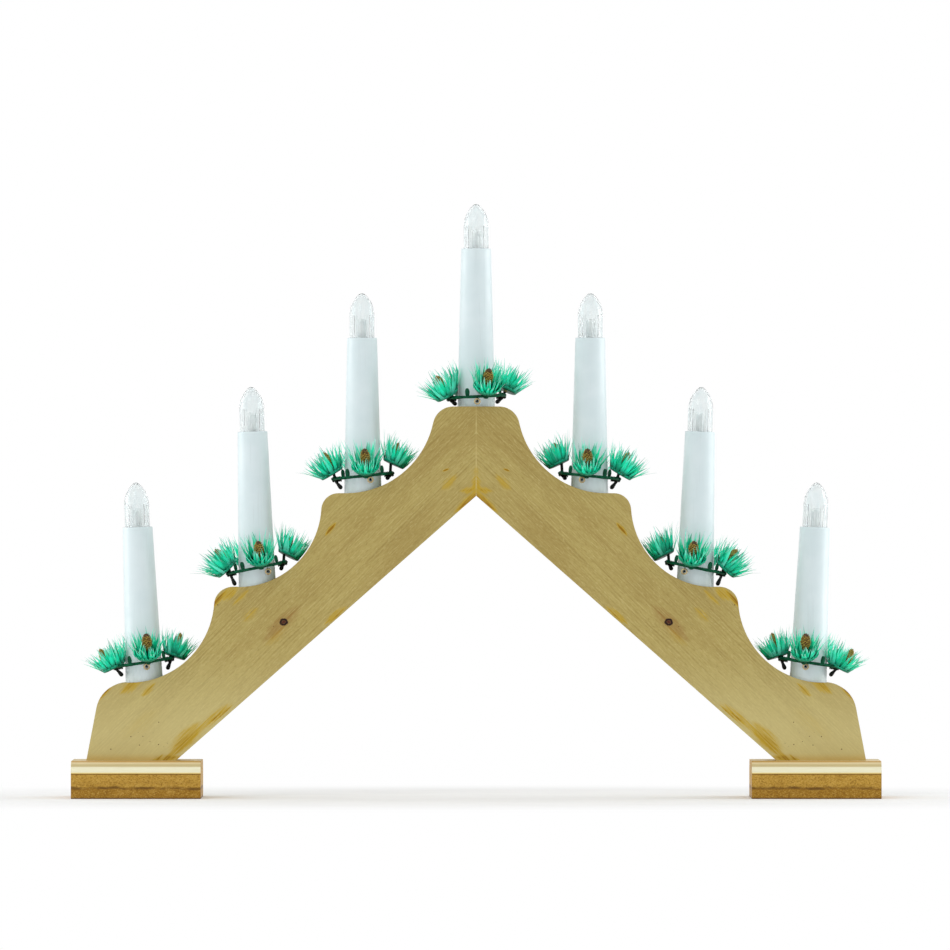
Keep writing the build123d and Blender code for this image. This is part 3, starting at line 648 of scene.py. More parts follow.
@dataclass(frozen=True)
class FootPine(Finish):
    """A foot block: stained sawn front and rear, and a pale planed moulding."""

    upper: Colour = seen(187, 145, 52)
    lower: Colour = seen(160, 116, 20)
    light_mottle: Colour = seen(200, 160, 70)
    dark_mottle: Colour = seen(150, 108, 24)
    dark_fleck: Colour = seen(118, 78, 10)
    light_fleck: Colour = seen(210, 172, 88)
    late: Colour = seen(132, 92, 22)
    crack_line: Colour = seen(100, 66, 4)
    # Painted contact shadow along the bottom of the foot.
    sole_shadow: Colour = seen(84, 54, 14)
    # The moulding's bands over its pale planed wood: cream is painted highlight, tan painted shade.
    cream_highlight: Colour = seen(242, 238, 206)
    tan_shade: Colour = seen(202, 184, 134)
    sand: Colour = seen(224, 206, 160)
    lip_yellow: Colour = seen(240, 214, 132)
    trim_fibre: Colour = seen(206, 184, 132)
    top_edge: Colour = seen(192, 148, 76)
    top: Colour = seen(212, 193, 146)
    top_shade: Colour = seen(198, 176, 124)
    top_late: Colour = seen(172, 143, 88)
    # Painted shade just under the moulding's lip.
    lip_shadow: Colour = seen(92, 58, 22)
    rubbed: Colour = seen(150, 100, 40)
    lip: float = 12.5
    crack: float = 5.3
    height: float = 18.5

    def paint(self, graph: Graph) -> Feeds:
        """Mottled stain with a dark crack low on the face, and the moulding's pale, painted-light
        bands.

        Args:
            graph: The material's graph.

        Returns:
            The shader's inputs by name.
        """
        spot = self.spot(graph)
        height = graph.node("SeparateXYZ", {0: spot}).outputs["Z"]
        normal = graph.node("NewGeometry").outputs["Normal"]
        facing = graph.node("SeparateXYZ", {0: normal}).outputs
        pith = (0.0, -14.0, -46.0)
        grain = graph.place(GrowthRings, Point=spot, Pith=pith, Spacing=3.1, Waver=4.0)
        mottle = graph.strokes(spot, (0.2, 0.2, 0.34), 3.0, 0.6)
        fleck = graph.strokes(spot, (1.3, 1.3, 1.9), 2.0, 0.7)
        wander = graph.times(graph.minus(graph.noise(spot, 0.16, 3.0), 0.5), 2.2)
        level = graph.plus(height, wander)
        gap = graph.math("ABSOLUTE", graph.minus(level, self.crack))
        broken = graph.rise(graph.strokes(spot, (0.12, 0.12, 0.4), 3.0), 0.36, 0.6, 0.4, 1.0)
        face = graph.layers(
            self.lower,
            (graph.rise(level, self.crack - 0.4, self.crack + 0.8), self.upper),
            (graph.rise(mottle, 0.5, 0.7, 0.0, 0.4), self.light_mottle),
            (graph.rise(mottle, 0.5, 0.3, 0.0, 0.4), self.dark_mottle),
            (graph.rise(fleck, 0.5, 0.72, 0.0, 0.8), self.dark_fleck),
            (graph.rise(fleck, 0.5, 0.28, 0.0, 0.6), self.light_fleck),
            (graph.times(grain["Late"], 0.25), self.late),
            (graph.times(graph.rise(gap, 0.2, 1.1, 0.9, 0.0), broken), self.crack_line),
            # Painted contact shadow along the bottom of the foot.
            (graph.rise(height, 0.1, 0.9, 0.85, 0.0), self.sole_shadow),
        )
        # The cream, tan and sand bands by height are painted highlight and shade over the
        # moulding's pale wood.
        trim = graph.layers(
            self.cream_highlight,
            (graph.rise(height, 15.3, 16.1), self.tan_shade),
            (graph.rise(height, 16.7, 17.4), self.sand),
            (graph.rise(height, 13.1, 12.7), self.lip_yellow),
            (graph.rise(grain["Fibre"], 0.45, 0.8, 0.0, 0.25), self.trim_fibre),
            (graph.rise(height, self.height - 0.7, self.height - 0.4), self.top_edge),
        )
        top = graph.layers(
            self.top,
            (graph.rise(grain["Tone"], 0.35, 0.65), self.top_shade),
            (graph.times(grain["Late"], 0.5), self.top_late),
        )
        above = graph.rise(height, self.lip - 0.25, self.lip + 0.1)
        lengthwise = graph.rise(graph.math("ABSOLUTE", facing["X"]), 0.4, 0.6, 1.0, 0.0)
        rim = graph.math("ABSOLUTE", graph.minus(height, self.lip - 0.35))
        colour = graph.layers(
            face,
            (graph.times(above, lengthwise), trim),
            (graph.rise(facing["Z"], 0.93, 0.99), top),
            # Painted shade just under the moulding's lip.
            (graph.times(graph.rise(rim, 0.1, 0.4, 0.7, 0.0), lengthwise), self.lip_shadow),
            (graph.times(graph.place(EdgeRub, Point=spot)["Mask"], 0.4), self.rubbed),
        )
        return {
            "Base Color": colour,
            "Roughness": graph.rise(mottle, 0.3, 0.7, 0.55, 0.42),
            "Normal": self.bump(graph, graph.plus(grain["Height"], mottle), 0.4, 0.1),
            "Coat Weight": 0.05,
            "Coat Roughness": 0.25,
            "Specular IOR Level": 0.25,
        }


@dataclass(frozen=True)
class Plastic(Finish):
    """A moulded plastic with a faint clouding and an uneven skin."""

    colour: Colour
    cloud: Colour
    roughness: float
    size: float
    depth: float = 0.03
    inner_glow: float = 0.0
    shine: float = 0.5

    def paint(self, graph: Graph) -> Feeds:
        """Two near colours in soft clouds, over a fine skin.

        Args:
            graph: The material's graph.

        Returns:
            The shader's inputs by name.
        """
        skin = graph.place(MouldedSkin, Point=self.spot(graph), Size=self.size)
        return {
            "Base Color": graph.mix(graph.rise(skin["Tone"], 0.35, 0.7), self.colour, self.cloud),
            "Roughness": graph.rise(skin["Tone"], 0.3, 0.7, self.roughness, self.roughness + 0.08),
            "Normal": self.bump(graph, skin["Height"], 0.3, self.depth),
            "Subsurface Weight": self.inner_glow,
            "Subsurface Radius": WHITE,
            "Subsurface Scale": 1.2 * MM,
            "Specular IOR Level": self.shine,
        }


@dataclass(frozen=True)
class CandlePlastic(Finish):
    """The white tube: a cool translucent plastic with faint upright streaks and a few specks."""

    colour: Colour = seen(219, 232, 235)
    cloud: Colour = seen(212, 227, 230)
    streak: Colour = seen(206, 219, 221)
    dust: Colour = seen(120, 118, 110)

    def paint(self, graph: Graph) -> Feeds:
        """A pale body with greyer streaks along it, and stray dust specks.

        Args:
            graph: The material's graph.

        Returns:
            The shader's inputs by name.
        """
        spot = self.spot(graph)
        skin = graph.place(MouldedSkin, Point=spot, Size=14.0, Grit=0.4)
        streak = graph.strokes(spot, (0.9, 0.9, 0.03))
        dust = graph.place(Specks, Point=spot, Spacing=11.0, Size=0.03, Share=0.3)["Mask"]
        colour = graph.layers(
            self.colour,
            (graph.rise(skin["Tone"], 0.3, 0.7), self.cloud),
            (graph.rise(streak, 0.55, 0.8, 0.0, 0.5), self.streak),
            (graph.times(dust, 0.7), self.dust),
        )
        return {
            "Base Color": colour,
            "Roughness": graph.rise(skin["Tone"], 0.3, 0.7, 0.32, 0.42),
            "Normal": self.bump(graph, skin["Height"], 0.15, 0.03),
            "Subsurface Weight": 0.12,
            "Subsurface Radius": WHITE,
            "Subsurface Scale": 1.5 * MM,
            "Coat Weight": 0.1,
            "Coat Roughness": 0.15,
        }


@dataclass(frozen=True)
class ClearPlastic(Finish):
    """The slightly hazy clear dome, with the faint flow marks of its moulding."""

    tint: Colour = seen(252, 255, 255)
    flow: Colour = seen(246, 252, 253)

    def paint(self, graph: Graph) -> Feeds:
        """A clear body with flow marks that only bend the light a little.

        Args:
            graph: The material's graph.

        Returns:
            The shader's inputs by name.
        """
        flow = graph.strokes(self.spot(graph), (0.5, 0.5, 0.12))
        return {
            "Base Color": graph.mix(graph.rise(flow, 0.35, 0.7), self.tint, self.flow),
            "Roughness": graph.rise(flow, 0.4, 0.7, 0.05, 0.08),
            "Normal": self.bump(graph, flow, 0.1, 0.05),
            "IOR": 1.3,
            "Transmission Weight": 0.85,
        }


@dataclass(frozen=True)
class Metal(Finish):
    """A drawn or plated metal with fine lines and a little tarnish."""

    colour: Colour
    tarnish: Colour
    roughness: float

    def paint(self, graph: Graph) -> Feeds:
        """Metal colour, tarnished in patches, over fine drawn lines.

        Args:
            graph: The material's graph.

        Returns:
            The shader's inputs by name.
        """
        skin = graph.place(DrawnMetal, Point=self.spot(graph))
        patches = graph.rise(skin["Tone"], 0.45, 0.75, 0.0, 0.7)
        return {
            "Base Color": graph.mix(patches, self.colour, self.tarnish),
            "Metallic": 1.0,
            "Roughness": graph.rise(skin["Tone"], 0.3, 0.7, self.roughness, self.roughness + 0.15),
            "Normal": self.bump(graph, skin["Height"], 0.2, 0.03),
        }


@dataclass(frozen=True)
class Beech(Finish):
    """Plain beech of a dowel, with its short flecks."""

    colour: Colour = seen(205, 172, 128)
    fleck: Colour = seen(160, 118, 76)

    def paint(self, graph: Graph) -> Feeds:
        """Fine grain along the dowel.

        Args:
            graph: The material's graph.

        Returns:
            The shader's inputs by name.
        """
        grain = graph.place(GrowthRings, Point=self.spot(graph), Spacing=1.1, Waver=0.6)
        colour = graph.layers(
            self.colour,
            (graph.times(grain["Late"], 0.5), self.fleck),
            (graph.rise(grain["Fibre"], 0.55, 0.8, 0.0, 0.5), self.fleck),
        )
        return {
            "Base Color": colour,
            "Roughness": graph.rise(grain["Fibre"], 0.3, 0.7, 0.6, 0.7),
            "Normal": self.bump(graph, grain["Height"], 0.4, 0.05),
        }


@dataclass(frozen=True)
class NeedlePlastic(Finish):
    """The needles' bright green: painted shade at the foot, painted light at the hair-thin tips."""

    # The dark foot is painted shade among the needles' feet.
    foot: Colour = seen(0, 82, 57)
    body: Colour = seen(20, 248, 198)
    # The pale tip is painted light shining through the thin needle ends.
    lit_tip: Colour = seen(196, 252, 242)
    dark: Colour = seen(0, 134, 100)
    bright: Colour = seen(128, 255, 230)

    def paint(self, graph: Graph) -> Feeds:
        """Colour by how far along its needle a point is, with each needle a little different.

        Args:
            graph: The material's graph.

        Returns:
            The shader's inputs by name.
        """
        along, tone = self.told(graph, "run"), self.told(graph, "tone")
        skin = graph.place(MouldedSkin, Point=self.spot(graph), Size=1.5, Grit=0.6)
        colour = graph.layers(
            # Painted shade towards the foot and painted light towards the tip, by how far along the
            # needle.
            self.foot,
            (graph.rise(along, 0.02, 0.42), self.body),
            (graph.rise(along, 0.55, 1.0, 0.0, 0.85), self.lit_tip),
            (graph.rise(tone, 0.5, 1.0, 0.0, 0.72), self.dark),
            (graph.rise(tone, 0.45, 0.0, 0.0, 0.6), self.bright),
            (graph.rise(skin["Tone"], 0.45, 0.8, 0.0, 0.2), self.foot),
        )
        return {
            "Base Color": colour,
            "Roughness": graph.rise(skin["Tone"], 0.3, 0.7, 0.36, 0.5),
            "Normal": self.bump(graph, skin["Height"], 0.2, 0.03),
            "Subsurface Weight": 0.1,
            "Subsurface Radius": (0.4, 1.0, 0.7),
            "Subsurface Scale": 0.8 * MM,
            "Specular IOR Level": 0.25,
        }


@dataclass(frozen=True)
class ConeBrown(Finish):
    """Brown cone scales with gold dust on their tips."""

    # The cones' own dark brown, which at low runs is painted shade between the scales.
    deep: Colour = seen(66, 42, 16)
    body: Colour = seen(168, 140, 60)
    pale: Colour = seen(200, 184, 112)
    gold: Colour = seen(222, 204, 122)

    def paint(self, graph: Graph) -> Feeds:
        """Painted shade between the scales, brown on them, and gold dust where they stand out.

        Args:
            graph: The material's graph.

        Returns:
            The shader's inputs by name.
        """
        spot = self.spot(graph)
        along, tone = self.told(graph, "run"), self.told(graph, "tone")
        dust = graph.place(Specks, Point=spot, Spacing=0.28, Size=0.46, Share=0.5)["Mask"]
        dusted = graph.times(dust, graph.rise(tone, 0.05, 0.45))
        gilt = graph.times(graph.rise(along, 0.3, 0.9), dusted)
        colour = graph.layers(
            # The deep colour at low runs is painted shade between the scales and on the core.
            self.deep,
            (graph.rise(along, 0.0, 0.5), self.body),
            (graph.rise(tone, 0.5, 1.0, 0.0, 0.8), self.pale),
            (graph.rise(tone, 0.4, 0.0, 0.0, 0.85), self.deep),
            (graph.times(gilt, 0.7), self.gold),
        )
        return {
            "Base Color": colour,
            "Metallic": graph.times(gilt, 0.35),
            "Roughness": graph.rise(gilt, 0.0, 1.0, 0.62, 0.34),
            "Normal": self.bump(graph, graph.noise(spot, 5.0), 0.4, 0.06),
        }


PINE = {side: BoardPine(f"pine_board_{side.word}", side) for side in Side}
FOOT_WOOD = FootPine("foot_wood")
RING_GREEN = Plastic("ring_green", seen(0, 84, 54), seen(0, 52, 34), 0.5, 2.0, 0.04, shine=0.12)
TWIST_BLACK = Plastic("twist_wire", seen(12, 15, 11), seen(4, 6, 5), 0.34, 1.5, 0.05, shine=0.2)
GILT = Metal("gilt_eyelet", seen(200, 180, 138), seen(104, 80, 50), 0.3)
NEEDLE = NeedlePlastic("needle_green")
CONE = ConeBrown("cone_brown")
SINGLE_NODES = {
    "mitre_dowels": Beech("beech_dowel"),
    "foot_screws": Metal("zinc_screw", seen(206, 200, 176), seen(150, 142, 110), 0.3),
    "wire_staples": Metal("staple_wire", seen(196, 196, 192), seen(140, 138, 130), 0.32),
    "cable_gland": Plastic("outlet_bush", seen(232, 231, 224), seen(216, 214, 205), 0.42, 4.0),
    "lamp_sockets": Plastic("socket_core", seen(222, 219, 208), seen(202, 198, 184), 0.5, 3.0),
    "socket_contacts": Metal("contact_brass", seen(222, 188, 110), seen(150, 116, 56), 0.26),
    "wires": Plastic("wire_cover", seen(229, 229, 223), seen(208, 208, 200), 0.38, 5.0),
}
CANDLE_NODES = {
    "candle_tube": CandlePlastic("candle_plastic"),
    "lamp_dome": ClearPlastic("clear_dome"),
    "lamp_cap": Metal("cap_plating", seen(222, 214, 186), seen(170, 156, 116), 0.22),
    "lamp_led": Plastic(
        "light_stem", seen(246, 249, 247), seen(236, 242, 242), 0.3, 3.0, 0.02, inner_glow=0.3
    ),
}


def turned(angle: float, axis: str = "Z") -> Matrix:
    """A rotation about an axis, by an angle in degrees."""
    return Matrix.Rotation(math.radians(angle), 4, axis)


def upward(height: float) -> Vector:
    """A point straight above the origin of a frame."""
    return Vector((0.0, 0.0, height))


def round_steps(count: int) -> list[float]:
    """The directions of equal steps round a circle, in radians."""
    return [math.tau * k / count for k in range(count)]


def hose_faces(rows: int, sides: int) -> Faces:
    """The faces round a row of sections, and a cap at either end.

    Args:
        rows: How many sections there are.
        sides: How many points each section has.

    Returns:
        The faces.
    """
    faces = []
    for row in range(rows - 1):
        for k in range(sides):
            here, beside = row * sides + k, row * sides + (k + 1) % sides
            faces.append((here, beside, beside + sides, here + sides))
    last = (rows - 1) * sides
    return faces + [tuple(reversed(range(sides))), tuple(range(last, last + sides))]


def loop_faces(steps: int, sides: int) -> Faces:
    """The faces round a closed ring of sections.

    Args:
        steps: How many sections there are.
        sides: How many points each section has.

    Returns:
        The faces.
    """
    faces = []
    for step in range(steps):
        for k in range(sides):
            here, there, beside = step * sides, (step + 1) % steps * sides, (k + 1) % sides
            faces.append((here + k, there + k, there + beside, here + beside))
    return faces


def lathe(profile: list[Point], place: Matrix, sides: int) -> Form:
    """Turn a profile of radius and height round Z.

    Args:
        profile: The profile's points from one pole to the other.
        place: Where the turned form goes.
        sides: How many steps there are round it.

    Returns:
        The points and the faces.
    """
    points = []
    for radius, height in profile:
        for turn in round_steps(sides):
            spot = (radius * math.cos(turn), radius * math.sin(turn), height)
            points.append(place @ Vector(spot))
    return points, hose_faces(len(profile), sides)


def hose(line: list[Vector], radii: list[float], sides: int) -> Form:
    """Run a round section along a line.

    Args:
        line: The points of the line.
        radii: The section's radius at each point.
        sides: How many steps there are round it.

    Returns:
        The points and the faces.
    """
    points = []
    up = Vector((0.3, 0.9, 0.1)).normalized()
    for k, (at, radius) in enumerate(zip(line, radii)):
        way = (line[min(k + 1, len(line) - 1)] - line[max(k - 1, 0)]).normalized()
        up = (up - way * up.dot(way)).normalized()
        out = way.cross(up)
        for turn in round_steps(sides):
            points.append(at + (up * math.cos(turn) + out * math.sin(turn)) * radius)
    return points, hose_faces(len(line), sides)


@dataclass(frozen=True)
class Site:
    """Where one candle stands on the arch. The tables run from the centre candle outwards."""

    place: int
    reaches: Row = (0.0, 56.128, 108.437, 164.409)
    landings: Row = (193.6, 150.7, 104.3, 57.0)
    leans: Row = (0.0, 0.3, 1.8, 2.5)
    lifts: Row = (4.9, 8.5, 9.5, 9.9)
    tilts: Row = (-3.0, 5.7, 11.5, 8.8)
    spins: Row = (19.5, 6.5, 10.0, 11.0)

    @property
    def rank(self) -> int:
        """How far out from the centre the candle stands, from 0 to 3."""
        return abs(self.place - 4)

    @property
    def side(self) -> int:
        """Minus one on the left and one elsewhere."""
        return -1 if self.place < 4 else 1

    def ring(self) -> Matrix:
        """The frame of the green ring, tilted to the wood.

        Returns:
            The frame, with Z through the ring.
        """
        lean = math.radians(self.leans[self.rank])
        lift = self.lifts[self.rank]
        reach = self.side * (self.reaches[self.rank] + math.sin(lean) * lift)
        spot = Vector((reach, 0.0, self.landings[self.rank] + math.cos(lean) * lift))
        return Matrix.Translation(spot) @ turned(self.tilts[self.rank] * self.side, "Y")

    def turns(self) -> list[float]:
        """The directions of the sprigs at the right, back, left and front."""
        spin = self.spins[self.rank] * (-self.side if self.rank else 1)
        return [90.0 * k + spin for k in range(4)]

    def inward(self, k: int) -> int:
        """A sprig's number counted so that 0 is the one on the inner side of the candle."""
        return k if self.side < 0 or not self.rank else (2 - k) % 4

    def faces_wall(self, k: int) -> bool:
        """Whether a sprig stands on the side where the wood rises."""
        return self.rank > 0 and self.inward(k) == 0


class Soup:
    """Gathers the points and faces of one piece, with two values that its finish reads."""

    def __init__(self) -> None:
        """Start with nothing."""
        self.points: list[Vector] = []
        self.faces: Faces = []
        self.runs: list[float] = []
        self.tones: list[float] = []

    def add(self, points: list[Vector], faces: Faces, runs: list[float], tone: float) -> None:
        """Add one closed form.

        Args:
            points: Its points.
            faces: Its faces, by the number of their points.
            runs: How far along the form each point is, from 0 to 1.
            tone: A value of the form's own, from 0 to 1.
        """
        start = len(self.points)
        self.points += points
        self.faces += [tuple(start + k for k in face) for face in faces]
        self.runs += runs
        self.tones += [tone] * len(points)

    def plain(self, form: Form, run: float = 0.5, tone: float = 0.5) -> None:
        """Add one closed form with the same two values all over it."""
        self.add(*form, [run] * len(form[0]), tone)

    def piece(self, title: str, site: Site, finish: Finish, stem: str) -> None:
        """Make a green ring's piece and let it ride on the ring's body.

        Args:
            title: The piece's name, without its place.
            site: Where the ring is.
            finish: The piece's finish.
            stem: The name of the node that it stands for, without its place.
        """
        name, body, node = [f"{word}_{site.place}" for word in (title, "wreath", stem)]
        mesh = bpy.data.meshes.new(name)
        mesh.from_pydata([tuple(point * MM) for point in self.points], [], self.faces)
        for value, values in (("run", self.runs), ("tone", self.tones)):
            mesh.attributes.new(value, "FLOAT", "POINT").data.foreach_set("value", values)
        mesh.materials.append(finish.material())
        mesh.shade_smooth()
        mesh.set_sharp_from_angle(angle=math.radians(SHARP_ANGLE))
        mesh.validate()
        made = bpy.data.objects.new(name, mesh)
        bpy.context.scene.collection.objects.link(made)
        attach(made, body)
        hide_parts(node)
        LOG.info("made %s with %d faces", name, len(self.faces))


class Room:
    """The space round one candle that its green ring may fill."""

    def __init__(self, solids: list[bpy.types.Object]) -> None:
        """Note what has to stay clear.

        Args:
            solids: The tube and the boards that nothing may touch.
        """
        self.trees = []
        for solid in solids:
            points = [solid.matrix_world @ vertex.co for vertex in solid.data.vertices]
            faces = [tuple(face.vertices) for face in solid.data.polygons]
            self.trees.append(BVHTree.FromPolygons(points, faces))

    def deep(self, points: list[Vector]) -> bool:
        """Whether a point reaches too far to the front or the rear."""
        return max(abs(point.y) for point in points) > NEEDLE_REACH

    def touched(self, points: list[Vector], gap: float = 0.35) -> bool:
        """Whether a point comes too close to the tube or the boards.

        Args:
            points: The points.
            gap: The least distance to keep.

        Returns:
            Whether one of them is too close, or inside.
        """
        for point in points:
            spot = point * MM
            for tree in self.trees:
                near, normal, _, away = tree.find_nearest(spot)
                if away < gap * MM or (spot - near).dot(normal) < 0.0:
                    return True
        return False


@dataclass(frozen=True)
class NeedleRow:
    """One row of needles round a sprig, and how far out and how finely they grow."""

    count: int
    radius: float
    length: float
    lean: float
    fine: float = 1.0


@dataclass(frozen=True)
class Sprig:
    """A brush of needles that grow from a small cup.

    The tables run from the centre candle outwards. Where they hold four values for each candle,
    these are for the sprigs in the order of Site.inward.
    """

    ring_radius: float = 14.3
    disc_radius: float = 5.2
    disc_height: float = 3.0
    cup_height: float = 3.0
    cup_flare: float = 1.8
    cup_sides: int = 42
    cup_tries: int = 8
    cup_back: float = 0.3
    cup_web: float = 0.45
    cup_bore: float = 0.9
    # Low runs give the cup the needles' dark foot colour: painted shade, darkest inside the cup.
    cup_runs: Row = (0.02, 0.02, 0.06, 0.1, 0.16, 0.24, 0.24, 0.1, 0.0, 0.0)
    cup_tone: float = 0.4
    flat_height: float = 1.1
    flat_flare: float = 0.4
    round_tilt: float = 28.0
    wall_tilts: Row = (28.0, 30.7, 38.5, 27.0)
    free_tilts: Row = (28.0, 25.0, 32.0, 19.0)
    rows: tuple[NeedleRow, ...] = (
        NeedleRow(17, 4.9, 12.2, 34.0),
        NeedleRow(15, 4.1, 13.0, 23.0),
        NeedleRow(11, 3.0, 12.8, 12.0),
        NeedleRow(26, 4.4, 15.2, 28.0, 0.46),
    )
    drops: Table = (
        (0.0, 0.0, 1.5, 0.0), (-1.6, 0.0, 0.3, 0.0), (-0.7, 0.0, 1.0, 0.0), (1.7, 0.0, 2.9, 0.0),
    )
    shifts: Table = (
        (0.0, 0.0, 0.0, 0.0), (-1.0, 0.0, -0.4, 0.0), (0.2, 0.0, -0.9, 0.0), (1.1, 0.0, 0.5, 0.0),
    )
    swells: Row = (1.06, 1.0, 1.15, 1.0)
    lengths: Row = (1.0, 1.0, 1.0, 0.92)
    side_trim: float = 0.12
    front_trim: float = 0.36
    front_narrow: float = 0.2
    needle_tries: int = 24
    deep_shrink: float = 0.95
    wall_shrink: float = 0.985
    lean_back: float = 0.86
    bend_back: float = 0.8
    lean_spread: float = 8.0
    bends: tuple[float, float] = (-18.0, 8.0)
    length_shares: tuple[float, float] = (0.82, 1.06)
    radius_spread: float = 0.25
    drift_spread: float = 0.16
    turn_spread: float = 0.3
    shares: Row = (0.0, 0.25, 0.5, 0.76, 1.0)
    widths: Row = (0.76, 0.86, 0.64, 0.34, 0.06)
    thicks: Row = (0.22, 0.19, 0.15, 0.1, 0.04)

    def frame(self, site: Site, k: int) -> Matrix:
        """The frame of one sprig, with Z out along it and X away from the candle.

        Args:
            site: Where the ring is.
            k: Which of its four sprigs this is.

        Returns:
            The frame.
        """
        tilts = {0: self.wall_tilts, 2: self.free_tilts}.get(site.inward(k))
        tilt = tilts[site.rank] if tilts else self.round_tilt
        out = Matrix.Translation((self.ring_radius, 0.0, 0.0))
        return site.ring() @ turned(site.turns()[k]) @ out @ turned(tilt, "Y")

    def seat(self, site: Site, k: int) -> Matrix:
        """The frame of one sprig, let down and moved in or out to where it sits on its ring.

        Args:
            site: Where the ring is.
            k: Which of its four sprigs this is.

        Returns:
            The frame.
        """
        side = site.inward(k)
        moved = (self.shifts[site.rank][side], 0.0, -self.drops[site.rank][side])
        swell = Matrix.Diagonal((self.swells[side], self.swells[side], 1.0, 1.0))
        return self.frame(site, k) @ Matrix.Translation(moved) @ swell

    def needle(
        self, soup: Soup, place: Matrix, row: NeedleRow, chance: random.Random, room: Room
    ) -> None:
        """Add one tapered, slightly bent needle with a ridge along it.

        Args:
            soup: Where it is added.
            place: The sprig's frame, turned to the needle's direction.
            row: The row it belongs to.
            chance: The source of its small differences.
            room: What it must keep clear of.
        """
        lean = math.radians(row.lean + chance.uniform(-self.lean_spread, self.lean_spread))
        bend = math.radians(chance.uniform(*self.bends))
        length = row.length * chance.uniform(*self.length_shares)
        radius = row.radius + chance.uniform(-self.radius_spread, self.radius_spread)
        drift = chance.uniform(-self.drift_spread, self.drift_spread)
        for _ in range(self.needle_tries):
            points = []
            for share, half, depth in zip(self.shares, self.widths, self.thicks):
                angle = lean + bend * share
                out = Vector((math.sin(angle), drift * share, math.cos(angle)))
                at = Vector((radius, 0.0, self.disc_height)) + out * length * share
                normal = Vector((math.cos(angle), 0.0, -math.sin(angle))) * depth * row.fine
                wide = Vector((0.0, 1.0, 0.0)) * half * row.fine
                points += [at + wide, at + normal, at - wide, at - normal]
            points = [place @ point for point in points]
            if room.deep(points):
                length *= self.deep_shrink
            elif room.touched(points[4:]):
                lean, bend = lean * self.lean_back, bend * self.bend_back
                length *= self.wall_shrink
            else:
                break
        else:
            return
        faces = [(0, 1, 2, 3)]
        top = (len(self.shares) - 1) * 4
        for low in range(0, top, 4):
            for k in range(4):
                beside = low + (k + 1) % 4
                faces.append((low + k, low + 4 + k, beside + 4, beside))
        faces.append((top + 3, top + 2, top + 1, top))
        soup.add(points, faces, [share for share in self.shares for _ in range(4)], chance.random())

    def cup(self, soup: Soup, place: Matrix, flat: bool, room: Room) -> None:
        """Add the webbed cup that joins the needles' feet, and the disc under it.

        Args:
            soup: Where it is added.
            place: The sprig's frame.
            flat: Whether the cup is only the disc's raised rim.
            room: What it must keep clear of.
        """
        low, disc, sides = self.disc_height - 0.5, self.disc_radius, self.cup_sides
        tall = self.flat_height if flat else self.cup_height
        flare = self.flat_flare if flat else self.cup_flare
        middle, rim = disc + flare * 0.4, disc + flare
        profile = [
            (self.cup_bore, low + 0.05), (3.0, low), (disc - 0.3, low + 0.05), (disc, low + 0.3),
            (middle, low + 0.5 + tall * 0.33), (rim, low + 0.5 + tall),
            (rim - 0.35, low + 0.5 + tall), (middle - 0.45, low + 0.6 + tall * 0.33),
            (disc - 0.6, low + 0.75), (self.cup_bore, low + 0.7),
        ]
        points, faces = lathe(profile, Matrix.Identity(4), sides)
        for k, turn in enumerate(round_steps(sides)):
            column = [row * sides + k for row in (4, 5, 6, 7)]
            for index in column[1:3]:
                points[index].z -= tall * self.cup_web if k % 2 else 0.0
            out = Vector((math.cos(turn), math.sin(turn), 0.0))
            for _ in range(self.cup_tries):
                if not room.touched([place @ points[index] for index in column]):
                    break
                for index in column:
                    points[index] -= out * self.cup_back
        last = (len(profile) - 1) * sides
        bore = [(last + k, last + (k + 1) % sides, (k + 1) % sides, k) for k in range(sides)]
        runs = [run for run in self.cup_runs for _ in range(sides)]
        soup.add([place @ point for point in points], faces[:-2] + bore, runs, self.cup_tone)

    def trim(self, row: NeedleRow, site: Site, k: int, turn: float) -> NeedleRow:
        """Shorten a needle that points away from the candle, most of all at the front.

        Args:
            row: The needle's row.
            site: Where the ring is.
            k: Which of its four sprigs this is.
            turn: The needle's direction round the sprig, in radians.

        Returns:
            The row as it is for this needle.
        """
        outward = max(math.cos(turn), 0.0)
        short = 1.0 - (self.front_trim if k == 3 else self.side_trim) * outward
        narrow = 1.0 - self.front_narrow * abs(math.sin(turn)) if k == 3 else 1.0
        length = row.length * short * self.lengths[site.rank]
        return replace(row, length=length, lean=row.lean * narrow)

    def grow(self, site: Site, room: Room) -> None:
        """Make the four sprigs of one ring, the same on both sides of the arch.

        Args:
            site: Where the ring is.
            room: What they must keep clear of.
        """
        soup = Soup()
        for k in range(4):
            place = self.seat(site, k)
            chance = random.Random(100 * min(site.place, 8 - site.place) + site.inward(k))
            self.cup(soup, place, k % 2 == 0, room)
            for row in self.rows:
                for step in range(row.count):
                    stray = chance.uniform(-self.turn_spread, self.turn_spread)
                    turn = math.tau * (step + stray) / row.count
                    spun = place @ Matrix.Rotation(turn, 4, "Z")
                    self.needle(soup, spun, self.trim(row, site, k, turn), chance, room)
        soup.piece("needle_sprigs", site, NEEDLE, "wreath_needles")


